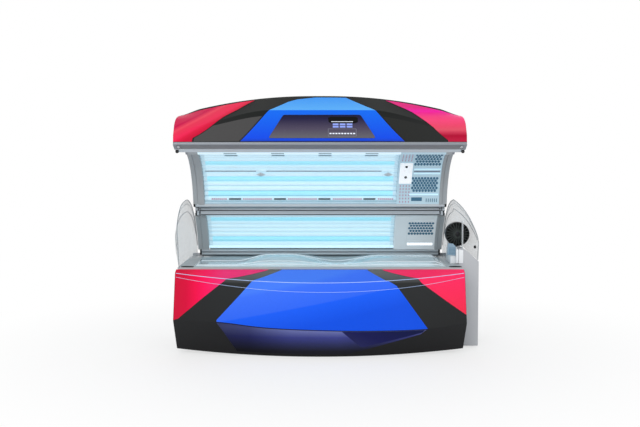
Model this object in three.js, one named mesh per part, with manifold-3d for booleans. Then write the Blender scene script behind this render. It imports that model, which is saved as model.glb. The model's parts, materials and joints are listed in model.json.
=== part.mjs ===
// Clamshell tanning bed: fixed base and rear side tanner, hinged canopy shown open.
// Millimetres. X runs along the bed (head end at +X), Y to the rear, Z up.
import * as THREE from 'three';
import { mergeVertices } from 'three/addons/utils/BufferGeometryUtils.js';
import Module from 'manifold-3d';

const wasm = await Module();
wasm.setup();

const rad = THREE.MathUtils.degToRad;

// Clearances
const FIT = 0.3;
const SEAM = 0.3;

// Tunnel, shared by canopy, side tanner and bench
const TUNNEL_HALF = 1037;
const FRAME_WIDTH = 92.5;
const PANE_HALF = TUNNEL_HALF - FRAME_WIDTH - SEAM;
const HEAD_PANEL_LONG = 411;
const HEAD_PANEL_X = TUNNEL_HALF - HEAD_PANEL_LONG;
const PANE_THICK = 5;
const LAMP_R = 19;
const LAMP_WALL = 3;
const LAMP_AIR = 12;
const HOLDER_X = 20;
const REFLECTOR_AIR = 11;
const REFLECTOR_THICK = 3;

// Bench and deck
const DECK_Z = 656;
const DECK_THICK = 16;
const DECK_OVER = 67;
const DECK_HALF = TUNNEL_HALF + DECK_OVER;
const DECK_FRONT = 26;
const DECK_REAR = 815;
const WINDOW_IN = 67;
const WINDOW_HALF = TUNNEL_HALF - WINDOW_IN;
const WINDOW_SILL = 59;
const WINDOW_FRONT = DECK_FRONT + WINDOW_SILL;
const WINDOW_BACK = 80;
const WINDOW_REAR = DECK_REAR - WINDOW_BACK;
const BENCH_LAP = 14;
const BENCH_LAMPS = 13;
const BENCH_LAMP_PITCH = 48;
const BENCH_LAMP_DROP = 41;
const BENCH_LAMP_Z = DECK_Z - BENCH_LAMP_DROP;
const KNEE_X = -370;
const KNEE_RISE = 66;
const BACK_IN = 170;
const BACK_X = WINDOW_HALF - BACK_IN;
const BACK_RISE = 48;
const SHELF_RISE = 34;
const shelf = DECK_Z + SHELF_RISE;

// Canopy hinge and the angle at which the canopy stands open
const HINGE_IN = 245;
const HINGE_RISE = 434;
const HINGE_Y = DECK_REAR - HINGE_IN;
const HINGE_Z = DECK_Z + HINGE_RISE;
const OPEN_DEG = 45;
const LUG_R = 24;
const HINGE_PIN_R = 10;
const ARM_IN = 47;
const ARM_X = TUNNEL_HALF - ARM_IN;
const ARM_THICK = 8;
const PLATE_IN = 33;
const PLATE_X = TUNNEL_HALF - PLATE_IN;
const PLATE_THICK = 8;

// Canopy arc in the level pose: U runs forward from the hinge, W up, and the arc's rear end
// keeps its place by the hinge
const CANOPY_R = 545;
const CANOPY_HALF_DEG = 33;
const CANOPY_REAR_U = 97.7;
const CANOPY_REAR_DROP = 28;
const canopyChord = CANOPY_R * Math.sin(rad(CANOPY_HALF_DEG));
const CANOPY_U = Math.round(2 * (CANOPY_REAR_U + canopyChord)) / 2;
const CANOPY_W = Math.round(-CANOPY_REAR_DROP - CANOPY_R * Math.cos(rad(CANOPY_HALF_DEG)));
const frontU = Math.round(CANOPY_U + canopyChord);
const CANOPY_FRAME_DEEP = 53;
const CANOPY_LAMPS = 14;
const CANOPY_LAMP_STEP = 4.5;

// Side tanner arc: its upper end hangs below the hinge, its centre lies on whole millimetres
const SIDE_R = 580;
const SIDE_FROM_DEG = 18;
const SIDE_TO_DEG = 54;
const SIDE_UNDER = 57;
const SIDE_Y = Math.round(HINGE_Y - 3 - SIDE_R * Math.cos(rad(SIDE_TO_DEG)));
const SIDE_Z = Math.round(HINGE_Z - SIDE_UNDER - SIDE_R * Math.sin(rad(SIDE_TO_DEG)));
const SIDE_FRAME_DEEP = 35;
const SIDE_LAMPS = 8;
const SIDE_LAMP_STEP = 4.2;

// Floor pan and feet
const PAN_OVER = 13;
const PAN_HALF = TUNNEL_HALF + PAN_OVER;
const PAN_SET_BACK = 44;
const PAN_FRONT = DECK_FRONT + PAN_SET_BACK;
const PAN_BEHIND = 100;
const PAN_REAR = DECK_REAR + PAN_BEHIND;
const PAN_Z = 70;
const PAN_RIM = 45;
const SHEET = 6;
const FOOT_END = 150;
const FOOT_X = PAN_HALF - FOOT_END;
const FOOT_IN = 90;
const FOOT_R = 28;
const STEM_R = 8;

// Front claddings
const CLAD_COLUMNS = 16;
const CLAD_WALL = 10;
const DECOR_GAP = 0.45;
const DECOR_THICK = 3;
const REAR_Y = PAN_REAR + FIT;

// Head end: climate unit, console, fan
const UNIT_IN = DECK_HALF + FIT;
const UNIT_WIDE = 164;
const UNIT_OUT = DECK_HALF + UNIT_WIDE;
const UNIT_FRONT = 250;
const UNIT_REAR = PAN_REAR + 15;
const UNIT_FOOT = 12;
const UNIT_SHOULDER_RISE = 36;
const UNIT_SHOULDER_Z = DECK_Z + UNIT_SHOULDER_RISE;
const UNIT_SLOPE = 110;
const UNIT_RIDGE_X = UNIT_OUT - UNIT_SLOPE;
const UNIT_RIDGE_RISE = 133;
const UNIT_RIDGE_Z = DECK_Z + UNIT_RIDGE_RISE;
const FAN_OVER = 4;
const FAN_X = DECK_HALF + FAN_OVER;
const FAN_Y = 330;
const FAN_RISE = 115;
const FAN_Z = UNIT_RIDGE_Z + FAN_RISE;
const FAN_R = 96;
const FAN_LENGTH = 84;
const FAN_BLADES = 7;

// Ballast case
const BALLAST_END = 250;
const BALLAST_LONG = 700;
const BALLAST_DEEP = 400;
const BALLAST_BACK = 65;
const BALLAST_HIGH = 120;
const BALLAST_WALL = 3;

// Base blower
const BLOWER_END = 600;
const BLOWER_BACK = 315;
const BLOWER_X = PAN_HALF - BLOWER_END;
const BLOWER_Y = PAN_REAR - BLOWER_BACK;
const BLOWER_SIDE = 320;
const BLOWER_HIGH = 150;
const BLOWER_R = 125;
const WHEEL_R = 110;
const WHEEL_BLADES = 12;

// Gas springs that carry the canopy
const TAIL_R = 80;
const TAIL_DEG = -20;
const STRUT_BACK = 45;
const STRUT_DROP = 330;
const STRUT_Y = PAN_REAR - STRUT_BACK;
const STRUT_Z = HINGE_Z - STRUT_DROP;
const STRUT_IN = 65;
const STRUT_X = TUNNEL_HALF - STRUT_IN;
const STRUT_EYE_THICK = 12;
const STRUT_PIN_R = 6;
const STRUT_TUBE_R = 11;
const STRUT_ROD_R = 5;
const STRUT_TUBE_LONG = 270;
const STRUT_SLOT = 16;

// Shields
const SHIELD_THICK = 4;

// Face tanner nozzles and pane locks
const NOZZLE_R = 13;
const NOZZLE_FROM = 64;
const NOZZLE_X = HEAD_PANEL_X + NOZZLE_FROM;
const NOZZLE_DEG = [-6.5, 6.5];
const LOCK_FROM_LEFT = 469.2;
const LOCK_FROM_RIGHT = 79;
const LOCK_X = [-PANE_HALF + LOCK_FROM_LEFT, HEAD_PANEL_X - LOCK_FROM_RIGHT];
const LOCK_DEG = 3.6;
const LOCK_R = 17;
const LOCK_AIR = 1.2;
const LOCK_STEM_R = 5;

const bed = new THREE.Group();
bed.name = 'tanning_bed';
const body = new THREE.Group();
bed.add(body);
const canopy = new THREE.Group();
canopy.position.set(0, HINGE_Y, HINGE_Z);
canopy.rotation.x = rad(-OPEN_DEG);
body.add(canopy);

// Finishes and the pieces that carry them
const finishes = {
  sheet_steel: { color: 0x8f959b, roughness: 0.5, metalness: 0.7 },
  black_rubber: { color: 0x17181a, roughness: 0.85, metalness: 0 },
  black_gloss: { color: 0x2c2e30, roughness: 0.25, metalness: 0 },
  blue_gloss: { color: 0x0f62f0, roughness: 0.2, metalness: 0 },
  red_gloss: { color: 0xe0164f, roughness: 0.2, metalness: 0 },
  violet_gloss: { color: 0x484d92, roughness: 0.25, metalness: 0 },
  light_grey: { color: 0xb4b5b9, roughness: 0.45, metalness: 0 },
  silver_plastic: { color: 0x8b9094, roughness: 0.35, metalness: 0.2 },
  aluminium: { color: 0xa3abb3, roughness: 0.35, metalness: 0.9 },
  clear_acrylic: { color: 0xe6f4fb, roughness: 0.05, metalness: 0, transparent: true, opacity: 0.3 },
  lamp_glass: { color: 0xdff4ff, roughness: 0.3, metalness: 0, emissive: 0xb4e6ff },
  bright_sheet: { color: 0xe2e6ea, roughness: 0.1, metalness: 1 },
  slate_plastic: { color: 0x9fb0bc, roughness: 0.5, metalness: 0 },
  white_plastic: { color: 0xf0f2f4, roughness: 0.4, metalness: 0 },
  black_plastic: { color: 0x1b1c1e, roughness: 0.5, metalness: 0 },
  polished_steel: { color: 0xc9ccd0, roughness: 0.15, metalness: 1 },
  display_glass: { color: 0x10142e, roughness: 0.08, metalness: 0 },
};
const pieces = {
  sheet_steel: ['base_pan', 'end_plate', 'ballast_case', 'blower_housing', 'canopy_frame'],
  black_rubber: ['levelling_foot'],
  black_gloss: ['base_front_cladding', 'canopy_front_cladding', 'canopy_roof'],
  blue_gloss: ['base_decor_blue', 'canopy_decor_blue'],
  red_gloss: ['base_decor_red', 'canopy_decor_red'],
  violet_gloss: ['base_accent_lens'],
  light_grey: ['base_end_panel', 'base_rear_panel', 'climate_unit', 'side_rear_shell'],
  silver_plastic: ['bench_deck', 'side_end_frame', 'canopy_end_frame'],
  aluminium: ['side_upper_profile', 'side_lower_profile', 'canopy_front_rail', 'canopy_lower_profile', 'pane_lock'],
  clear_acrylic: ['bench_acrylic', 'side_acrylic', 'canopy_acrylic', 'end_shield'],
  lamp_glass: ['bench_lamp_bank', 'side_lamp_bank', 'canopy_lamp_bank'],
  bright_sheet: ['bench_reflector', 'side_reflector', 'canopy_reflector'],
  slate_plastic: ['side_speaker_panel', 'face_tanner_panel'],
  white_plastic: ['nozzle_plate', 'head_console'],
  black_plastic: ['fan_cowl', 'fan_wheel', 'blower_wheel', 'mist_nozzle', 'strut_tube'],
  polished_steel: ['strut_rod'],
  display_glass: ['control_panel'],
};
function finishOf(name) {
  const slot = Object.keys(pieces).find((key) => pieces[key].some((stem) => name.startsWith(stem)));
  return new THREE.MeshStandardMaterial(finishes[slot]);
}

// Closed solids from geometry

function toSolid(geometry) {
  const plain = geometry.clone();
  plain.deleteAttribute('normal');
  plain.deleteAttribute('uv');
  const joined = mergeVertices(plain, 1e-4);
  const mesh = new wasm.Mesh({
    numProp: 3,
    vertProperties: new Float32Array(joined.attributes.position.array),
    triVerts: new Uint32Array(joined.index.array),
  });
  return new wasm.Manifold(mesh);
}

function toGeometry(solid) {
  const mesh = solid.getMesh();
  const geometry = new THREE.BufferGeometry();
  geometry.setAttribute('position', new THREE.Float32BufferAttribute(mesh.vertProperties, 3));
  geometry.setIndex([...mesh.triVerts]);
  return geometry;
}

function join(...parts) {
  return toGeometry(parts.map(toSolid).reduce((sum, part) => sum.add(part)));
}

function cut(body, ...tools) {
  return toGeometry(tools.map(toSolid).reduce((rest, tool) => rest.subtract(tool), toSolid(body)));
}

function common(body, tool) {
  return toGeometry(toSolid(body).intersect(toSolid(tool)));
}

function box(x0, x1, y0, y1, z0, z1) {
  const geometry = new THREE.BoxGeometry(x1 - x0, y1 - y0, z1 - z0);
  return geometry.translate((x0 + x1) / 2, (y0 + y1) / 2, (z0 + z1) / 2);
}

function extrude(outline, depth, xAxis, yAxis, zAxis) {
  const shape = new THREE.Shape(outline.map(([a, b]) => new THREE.Vector2(a, b)));
  const geometry = new THREE.ExtrudeGeometry(shape, { depth, bevelEnabled: false });
  return geometry.applyMatrix4(new THREE.Matrix4().makeBasis(xAxis, yAxis, zAxis));
}

const EX = new THREE.Vector3(1, 0, 0);
const EY = new THREE.Vector3(0, 1, 0);
const EZ = new THREE.Vector3(0, 0, 1);

// Outline given as [y, z], swept from x0 to x1
function prismX(outline, x0, x1) {
  return extrude(outline, x1 - x0, EY, EZ, EX).translate(x0, 0, 0);
}

// Outline given as [x, z], swept from y0 to y1
function prismY(outline, y0, y1) {
  return extrude(outline, y1 - y0, EX, EZ, EY.clone().negate()).translate(0, y1, 0);
}

function rodX(x0, x1, y, z, radius, sides = 16) {
  const geometry = new THREE.CylinderGeometry(radius, radius, x1 - x0, sides);
  return geometry.rotateZ(Math.PI / 2).translate((x0 + x1) / 2, y, z);
}

function rodZ(x, y, z0, z1, radius, sides = 16) {
  const geometry = new THREE.CylinderGeometry(radius, radius, z1 - z0, sides);
  return geometry.rotateX(Math.PI / 2).translate(x, y, (z0 + z1) / 2);
}

// Closed sheet between two grids of points with the same rows and columns
function sheet(front, back) {
  const rows = front.length;
  const columns = front[0].length;
  const half = rows * columns;
  const points = [...front.flat(), ...back.flat()].flat();
  const faces = [];
  const quad = (a, b, c, d) => faces.push(a, b, c, a, c, d);
  for (let r = 0; r < rows - 1; r += 1) {
    for (let c = 0; c < columns - 1; c += 1) {
      const a = r * columns + c;
      quad(a, a + 1, a + columns + 1, a + columns);
      quad(half + a, half + a + columns, half + a + columns + 1, half + a + 1);
    }
  }
  const rim = [];
  for (let c = 0; c < columns - 1; c += 1) rim.push(c);
  for (let r = 0; r < rows - 1; r += 1) rim.push(r * columns + columns - 1);
  for (let c = columns - 1; c > 0; c -= 1) rim.push((rows - 1) * columns + c);
  for (let r = rows - 1; r > 0; r -= 1) rim.push(r * columns);
  rim.forEach((a, i) => {
    const b = rim[(i + 1) % rim.length];
    quad(b, a, half + a, half + b);
  });
  const geometry = new THREE.BufferGeometry();
  geometry.setAttribute('position', new THREE.Float32BufferAttribute(points, 3));
  geometry.setIndex(signedVolume(points, faces) < 0 ? faces.reverse() : faces);
  return geometry;
}

function signedVolume(points, faces) {
  let sum = 0;
  const at = (i) => new THREE.Vector3().fromArray(points, i * 3);
  for (let i = 0; i < faces.length; i += 3) {
    sum += at(faces[i]).dot(at(faces[i + 1]).cross(at(faces[i + 2])));
  }
  return sum;
}

function add(name, geometry, group = body) {
  const mesh = new THREE.Mesh(geometry, finishOf(name));
  mesh.name = name;
  group.add(mesh);
}

// Canopy pieces are drawn level about the hinge: their group stands them open
function addCanopy(name, geometry) {
  add(name, geometry, canopy);
}

const mirrorX = (geometry) => toGeometry(toSolid(geometry).mirror([1, 0, 0]));

// Band of an arc as an outline; degrees are turned to points by the arc's own rule
function band(at, r0, r1, from, to, steps = 12) {
  const angle = (i) => from + ((to - from) * i) / steps;
  const outer = [];
  const inner = [];
  for (let i = 0; i <= steps; i += 1) {
    outer.push(at(r1, angle(i)));
    inner.unshift(at(r0, angle(i)));
  }
  const outline = [...outer, ...inner];
  return THREE.ShapeUtils.area(outline.map(([a, b]) => new THREE.Vector2(a, b))) < 0
    ? outline.reverse()
    : outline;
}

const level = ([u, w]) => [-u, w];
const canopyAt = (r, deg) => level([CANOPY_U - r * Math.sin(rad(deg)), CANOPY_W + r * Math.cos(rad(deg))]);
const sideAt = (r, deg) => [SIDE_Y + r * Math.cos(rad(deg)), SIDE_Z + r * Math.sin(rad(deg))];

const lampRing = (paneR) => paneR + PANE_THICK + LAMP_AIR + LAMP_R;
const reflectorR = (paneR) => lampRing(paneR) + LAMP_R + REFLECTOR_AIR;

// Tubes in a row plugged into a holder bar at each end
function lampBank(at, ring, degrees, x0, x1) {
  const tubes = degrees.map((deg) => {
    const [y, z] = at(ring, deg);
    return rodX(x0 + 1, x1 - 1, y, z, LAMP_R, 8);
  });
  const last = degrees.length - 1;
  const bar = band(at, ring - LAMP_R - 3, ring + LAMP_R + REFLECTOR_AIR - 1, degrees[0] - 2.2, degrees[last] + 2.2, 8);
  const bores = degrees.map((deg) => rodX(x0 - 1, x1 + 1, ...at(ring, deg), LAMP_R - LAMP_WALL, 6));
  return cut(join(prismX(bar, x0, x0 + HOLDER_X), prismX(bar, x1 - HOLDER_X, x1), ...tubes), ...bores);
}

// Floor pan on four levelling feet

const footSpots = [];
for (const x of [-FOOT_X, FOOT_X]) {
  for (const y of [PAN_FRONT + FOOT_IN, PAN_REAR - FOOT_IN]) footSpots.push([x, y]);
}
const panInner = box(
  -PAN_HALF + SHEET, PAN_HALF - SHEET,
  PAN_FRONT + SHEET, PAN_REAR - SHEET,
  PAN_Z + SHEET, PAN_Z + PAN_RIM + 1,
);
const stemHoles = footSpots.map(([x, y]) => rodZ(x, y, PAN_Z - 1, PAN_Z + SHEET + 1, STEM_R + FIT));
add('base_pan', cut(
  box(-PAN_HALF, PAN_HALF, PAN_FRONT, PAN_REAR, PAN_Z, PAN_Z + PAN_RIM),
  panInner,
  ...stemHoles,
));
const footNames = ['front_left', 'rear_left', 'front_right', 'rear_right'];
footSpots.forEach(([x, y], i) => {
  const profile = [
    [0, 0], [FOOT_R, 0], [FOOT_R, 10], [FOOT_R - 10, 18], [STEM_R + 5, 18],
    [STEM_R + 5, PAN_Z - FIT], [STEM_R, PAN_Z - FIT], [STEM_R, PAN_Z + 24], [0, PAN_Z + 24],
  ];
  const foot = new THREE.LatheGeometry(profile.map(([r, z]) => new THREE.Vector2(r, z)), 12);
  add(`levelling_foot_${footNames[i]}`, foot.rotateX(Math.PI / 2).translate(x, y, 0));
});

// Steel end plates: from the pan up behind the side tanner to the hinge pins
const panTop = PAN_Z + SHEET + FIT;
const plateTop = DECK_Z - SEAM;
const lugArc = [];
for (let deg = 60; deg <= 240; deg += 20) {
  lugArc.push([HINGE_Y + LUG_R * Math.cos(rad(deg)), HINGE_Z + LUG_R * Math.sin(rad(deg))]);
}
const behindSide = [];
for (let deg = SIDE_TO_DEG; deg >= SIDE_FROM_DEG; deg -= 3) {
  behindSide.push(sideAt(SIDE_R + SIDE_FRAME_DEEP + FIT, deg));
}
const plateOutline = [
  [PAN_FRONT + SHEET + 4, panTop], [PAN_REAR - SHEET - 4, panTop],
  [PAN_REAR - 10, shelf + 10], [PAN_REAR - 35, shelf + 120], [PAN_REAR - 110, HINGE_Z - 125],
  [HINGE_Y + 130, HINGE_Z - 28], [HINGE_Y + 50, HINGE_Z + 22],
  ...lugArc,
  ...behindSide,
  [DECK_REAR + 10, shelf], [DECK_REAR + 10, plateTop], [PAN_FRONT + SHEET + 4, plateTop],
];
const plate = join(
  prismX(plateOutline, PLATE_X, PLATE_X + PLATE_THICK),
  rodX(ARM_X - 4, PLATE_X + 1, HINGE_Y, HINGE_Z, HINGE_PIN_R),
  rodX(STRUT_X - STRUT_EYE_THICK, PLATE_X + 1, STRUT_Y, STRUT_Z, STRUT_PIN_R),
);
add('end_plate_right', plate);
add('end_plate_left', mirrorX(plate));

// Deck frame around the bench window
add('bench_deck', cut(
  box(-DECK_HALF, DECK_HALF, DECK_FRONT, DECK_REAR, DECK_Z, DECK_Z + DECK_THICK),
  box(-WINDOW_HALF, WINDOW_HALF, WINDOW_FRONT, WINDOW_REAR, DECK_Z - 1, DECK_Z + DECK_THICK + 1),
));

// Wavy lying surface resting on the deck frame
const benchX = (i, n) => (WINDOW_HALF + BENCH_LAP) * (-1 + (2 * i) / n);
const benchRear = WINDOW_REAR + BENCH_LAP;
const benchFront = WINDOW_FRONT - BENCH_LAP;
function benchZ(x, y) {
  const inset = Math.min(1, (WINDOW_HALF - Math.abs(x)) / 60);
  const across = (y - WINDOW_FRONT) / (WINDOW_REAR - WINDOW_FRONT);
  if (inset <= 0 || across <= 0 || across >= 1) return 0;
  const knee = KNEE_RISE * Math.exp(-(((x - KNEE_X) / 190) ** 2));
  const back = BACK_RISE * Math.exp(-(((x - BACK_X) / 330) ** 2));
  return (knee + back) * inset * Math.sqrt(Math.sin(Math.PI * across));
}
function benchGrid(rise) {
  const columns = 28;
  const stops = [
    benchFront, WINDOW_FRONT, WINDOW_FRONT + 45, WINDOW_FRONT + 130, WINDOW_FRONT + 245,
    WINDOW_REAR - 275, WINDOW_REAR - 145, WINDOW_REAR - 55, WINDOW_REAR, benchRear,
  ];
  const floor = DECK_Z + DECK_THICK + FIT + rise;
  return stops.map((y) => Array.from({ length: columns + 1 }, (_, i) => {
    const x = benchX(i, columns);
    return [x, y, floor + benchZ(x, y)];
  }));
}
add('bench_acrylic', sheet(benchGrid(PANE_THICK), benchGrid(0)));

// Bench lamps over their reflector
const benchMid = (WINDOW_FRONT + WINDOW_REAR) / 2;
const benchTrayTop = BENCH_LAMP_Z - LAMP_R - 3;
const benchLampSpan = (BENCH_LAMP_PITCH * (BENCH_LAMPS - 1)) / 2;
const benchTubes = Array.from({ length: BENCH_LAMPS }, (_, i) => rodX(
  -PANE_HALF + 6, PANE_HALF - 6, benchMid - benchLampSpan + i * BENCH_LAMP_PITCH, BENCH_LAMP_Z, LAMP_R, 10,
));
const benchHolder = (x0) => box(
  x0, x0 + HOLDER_X, benchMid - benchLampSpan - 24, benchMid + benchLampSpan + 24,
  benchTrayTop + FIT, BENCH_LAMP_Z + LAMP_R + 4,
);
add('bench_lamp_bank', join(
  benchHolder(-PANE_HALF), benchHolder(PANE_HALF - HOLDER_X), ...benchTubes,
));
add('bench_reflector', box(
  -PLATE_X + FIT, PLATE_X - FIT, WINDOW_FRONT, WINDOW_REAR, benchTrayTop - REFLECTOR_THICK, benchTrayTop,
));

// Ballast case and blower on the pan
const ballastX = -PAN_HALF + BALLAST_END;
const ballastY = PAN_REAR - BALLAST_BACK;
const ballast = (inset, foot) => box(
  ballastX + inset, ballastX + BALLAST_LONG - inset,
  ballastY - BALLAST_DEEP + inset, ballastY - inset,
  foot, panTop + BALLAST_HIGH - inset,
);
add('ballast_case', cut(ballast(0, panTop), ballast(BALLAST_WALL, panTop - 1)));
const blowerHalf = BLOWER_SIDE / 2;
add('blower_housing', cut(
  box(BLOWER_X - blowerHalf, BLOWER_X + blowerHalf, BLOWER_Y - blowerHalf, BLOWER_Y + blowerHalf,
    panTop, panTop + BLOWER_HIGH),
  rodZ(BLOWER_X, BLOWER_Y, panTop + 12, panTop + BLOWER_HIGH + 1, BLOWER_R, 24),
));
function wheel(radius, hub, from, to, blades, lean, spindle) {
  const parts = [rodZ(0, 0, from, to, hub, 16), rodZ(0, 0, ...spindle, 8, 12)];
  for (let i = 0; i < blades; i += 1) {
    const deep = (to - from) / 2 - 4;
    const blade = box(hub - 4, radius, -2, 2, -deep, deep).rotateX(lean);
    parts.push(blade.translate(0, 0, (from + to) / 2).rotateZ((2 * Math.PI * i) / blades));
  }
  return join(...parts);
}
const blowerWheel = wheel(
  WHEEL_R, 52, panTop + 24, panTop + BLOWER_HIGH - 14, WHEEL_BLADES, 0, [panTop + 12 + FIT, panTop + 30],
);
add('blower_wheel', blowerWheel.translate(BLOWER_X, BLOWER_Y, 0));

// Base front: bevel, face and lower return, bowed forward in plan

function through(knots, t) {
  const curve = new THREE.SplineCurve(knots.map(([a, b]) => new THREE.Vector2(a, b)));
  return curve.getPoints(64).reduce((best, p) => (Math.abs(p.x - t) < Math.abs(best.x - t) ? p : best)).y;
}
const beltKnots = [[-1, 262], [-0.69, 270], [-0.35, 238], [0.06, 222], [0.36, 214], [0.72, 213], [1, 238]];
const baseRows = [
  (t) => [(DECK_HALF + 3) * t, DECK_FRONT + 4, DECK_Z - SEAM],
  (t) => [(DECK_HALF + 8) * t, DECK_FRONT - 21 - 170 * (1 - t * t), DECK_Z - 24 - 54 * (1 - t * t)],
  (t) => [(DECK_HALF + 24) * t, DECK_FRONT - 26 - 210 * (1 - t * t), through(beltKnots, t)],
  (t) => [(DECK_HALF + 1) * t, DECK_FRONT + 14 - 160 * (1 - t * t), 52 - 32 * (1 - t * t)],
];
const columnT = Array.from({ length: CLAD_COLUMNS + 1 }, (_, i) => -1 + (2 * i) / CLAD_COLUMNS);
function baseGrid(out) {
  return baseRows.map((row) => columnT.map((t) => {
    const [x, y, z] = row(t);
    return [x, y - 0.8 * out, z + 0.6 * out];
  }));
}
const baseDecor = sheet(baseGrid(DECOR_GAP + DECOR_THICK), baseGrid(DECOR_GAP));
add('base_front_cladding', sheet(baseGrid(0), baseGrid(-CLAD_WALL)));

// Colour fields as seen from the front, [x, z]
const baseFieldTop = DECK_Z - SEAM - 3;
const blueField = [
  [-300, baseFieldTop], [-340, 640], [-505, 590], [-776, 276], [-690, 268], [-400, 240], [-100, 226],
  [60, 223], [400, 216], [805, 214], [520, 590], [400, 640], [360, baseFieldTop],
];
const redLeftField = [
  [-1140, 275], [-1092, 278], [-940, 372], [-715, 600], [-520, 638], [-412, baseFieldTop], [-1140, baseFieldTop],
];
const redRightField = [
  [1140, 268], [1140, baseFieldTop], [490, baseFieldTop], [600, 634], [762, 600], [960, 430], [1120, 300],
];
const accentField = [
  [-720, 252], [-400, 220], [-100, 206], [60, 203], [400, 198], [770, 196], [560, 130], [200, 70], [-300, 62], [-600, 70],
];
const FIELD_HALF = 1104;
const stretched = (outline, ratio) => outline.map(([x, z]) => [x * ratio, z]);
const field = (skin, outline) => common(
  skin, prismY(stretched(outline, DECK_HALF / FIELD_HALF).reverse(), -500, 300),
);
add('base_decor_blue', field(baseDecor, blueField));
add('base_decor_red_left', field(baseDecor, redLeftField));
add('base_decor_red_right', field(baseDecor, redRightField));
add('base_accent_lens', field(baseDecor, accentField));

add('base_end_panel_left', prismX(
  [[52, 66], [REAR_Y - SEAM, 66], [REAR_Y - SEAM, DECK_Z - SEAM], [52, DECK_Z - SEAM]], -DECK_HALF, -DECK_HALF + 12,
));
add('base_rear_panel', join(
  box(-DECK_HALF, UNIT_IN - SEAM, REAR_Y, REAR_Y + 10, 60, shelf),
  box(-STRUT_X + 30, STRUT_X - 30, STRUT_Y + 6, REAR_Y + 5, shelf - SHEET, shelf),
));

// Climate unit at the head end, open underneath
const unitOutline = (inset, foot) => [
  [UNIT_IN + inset, foot], [UNIT_OUT - inset, foot], [UNIT_OUT - inset, UNIT_SHOULDER_Z - inset],
  [UNIT_RIDGE_X, UNIT_RIDGE_Z - 1.4 * inset], [UNIT_IN + inset, UNIT_RIDGE_Z + 11 - 1.4 * inset],
];
add('climate_unit', join(
  cut(
    prismY(unitOutline(0, UNIT_FOOT), UNIT_FRONT, UNIT_REAR),
    prismY(unitOutline(SHEET, UNIT_FOOT - 1), UNIT_FRONT + SHEET, UNIT_REAR - SHEET),
  ),
  box(UNIT_IN, UNIT_IN + SHEET, 56, UNIT_FRONT + 1, 66, DECK_Z + DECK_THICK),
));

// Head console with the fan cowl above it
const consoleTop = UNIT_RIDGE_Z + 12;
add('head_console', prismX(
  [[270, DECK_Z + DECK_THICK + FIT], [540, DECK_Z + DECK_THICK + FIT], [540, consoleTop - 81],
    [500, consoleTop], [300, consoleTop], [270, consoleTop - 31]],
  TUNNEL_HALF + 6, DECK_HALF,
));
function drumY(radius, y0, y1, sides = 28) {
  return new THREE.CylinderGeometry(radius, radius, y1 - y0, sides).translate(FAN_X, (y0 + y1) / 2, FAN_Z);
}
const cowlRibs = [];
for (let i = 0; i < 9; i += 1) {
  const rib = box(0, FAN_R - 3, FAN_Y, FAN_Y + 8, -2.5, 2.5).translate(0, 0, 0);
  cowlRibs.push(rib.rotateY((-2 * Math.PI * i) / 9).translate(FAN_X, 0, FAN_Z));
}
const cowlFoot = box(FAN_X - 60, FAN_X - 8, FAN_Y + 14, FAN_Y + FAN_LENGTH, consoleTop + FIT, FAN_Z - FAN_R + 10);
add('fan_cowl', cut(
  join(
    cut(drumY(FAN_R, FAN_Y, FAN_Y + FAN_LENGTH), drumY(FAN_R - 6, FAN_Y - 1, FAN_Y + FAN_LENGTH - 6)),
    drumY(18, FAN_Y, FAN_Y + 8, 16),
    ...cowlRibs,
    cowlFoot,
  ),
  drumY(FAN_R - 6, FAN_Y + 8, FAN_Y + FAN_LENGTH - 6),
));
const fanWheel = wheel(FAN_R - 14, 20, 14, FAN_LENGTH - 12, FAN_BLADES, 0.6, [30, FAN_LENGTH - 6 - FIT]);
add('fan_wheel', fanWheel.rotateX(-Math.PI / 2).translate(FAN_X, FAN_Y, FAN_Z));

// Clear end shields: stations from front to rear give depth, foot, top and width
function shield(stations, rise = 6) {
  const grid = (inward) => stations.map(([y, foot, top, xFoot, xTop, bulge]) => (
    Array.from({ length: rise + 1 }, (_, k) => {
      const v = k / rise;
      const x = xFoot + (xTop - xFoot) * v + bulge * 4 * v * (1 - v);
      return [x - inward, y, foot + (top - foot) * v];
    })
  ));
  return sheet(grid(0), grid(SHIELD_THICK));
}
const deckTop = DECK_Z + DECK_THICK + FIT;
// Stations give depth, foot, rise over the deck, and how far foot and top stand out past the deck
const standing = (stations) => stations.map(([y, foot, rise, footOut, topOut, bulge]) => (
  [y, foot, DECK_Z + rise, DECK_HALF + footOut, DECK_HALF + topOut, bulge]
));
const leftStations = standing([
  [32, deckTop, 44, -8, -7, 0], [60, deckTop, 174, -6, 2, 10], [150, deckTop, 294, -4, 22, 24],
  [250, deckTop, 384, -4, 28, 24], [400, deckTop, 474, -6, 24, 14], [550, deckTop, 512, -12, 1, 5],
  [620, deckTop, 490, -24, -16, 0], [680, deckTop, 429, -36, -32, 0], [740, deckTop, 294, -50, -48, 0],
  [778, deckTop, 114, -58, -58, 0],
]);
add('end_shield_left', mirrorX(shield(leftStations)));
const unitTop = (x) => UNIT_SHOULDER_Z + ((UNIT_OUT - x) * (UNIT_RIDGE_Z - UNIT_SHOULDER_Z)) / (UNIT_OUT - UNIT_RIDGE_X);
const rightStations = standing([
  [256, unitTop(UNIT_OUT - 12), 104, 158, 159, 0], [290, unitTop(UNIT_OUT - 12), 216, 158, 164, 4],
  [380, unitTop(UNIT_OUT - 52), 344, 118, 124, 6], [450, unitTop(UNIT_OUT - 96) + 8, 429, 74, 80, 4],
  [510, UNIT_RIDGE_Z + 14, 479, 38, 42, 0], [560, UNIT_RIDGE_Z + 16, 512, -2, 6, 0],
  [575, deckTop, 510, -7, -1, 0], [620, deckTop, 490, -24, -16, 0], [680, deckTop, 429, -36, -32, 0],
  [740, deckTop, 294, -50, -48, 0], [778, deckTop, 114, -58, -58, 0],
]).map(([y, foot, ...rest]) => [y, foot + FIT, ...rest]);
add('end_shield_right', shield(rightStations));

// Side tanner

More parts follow.
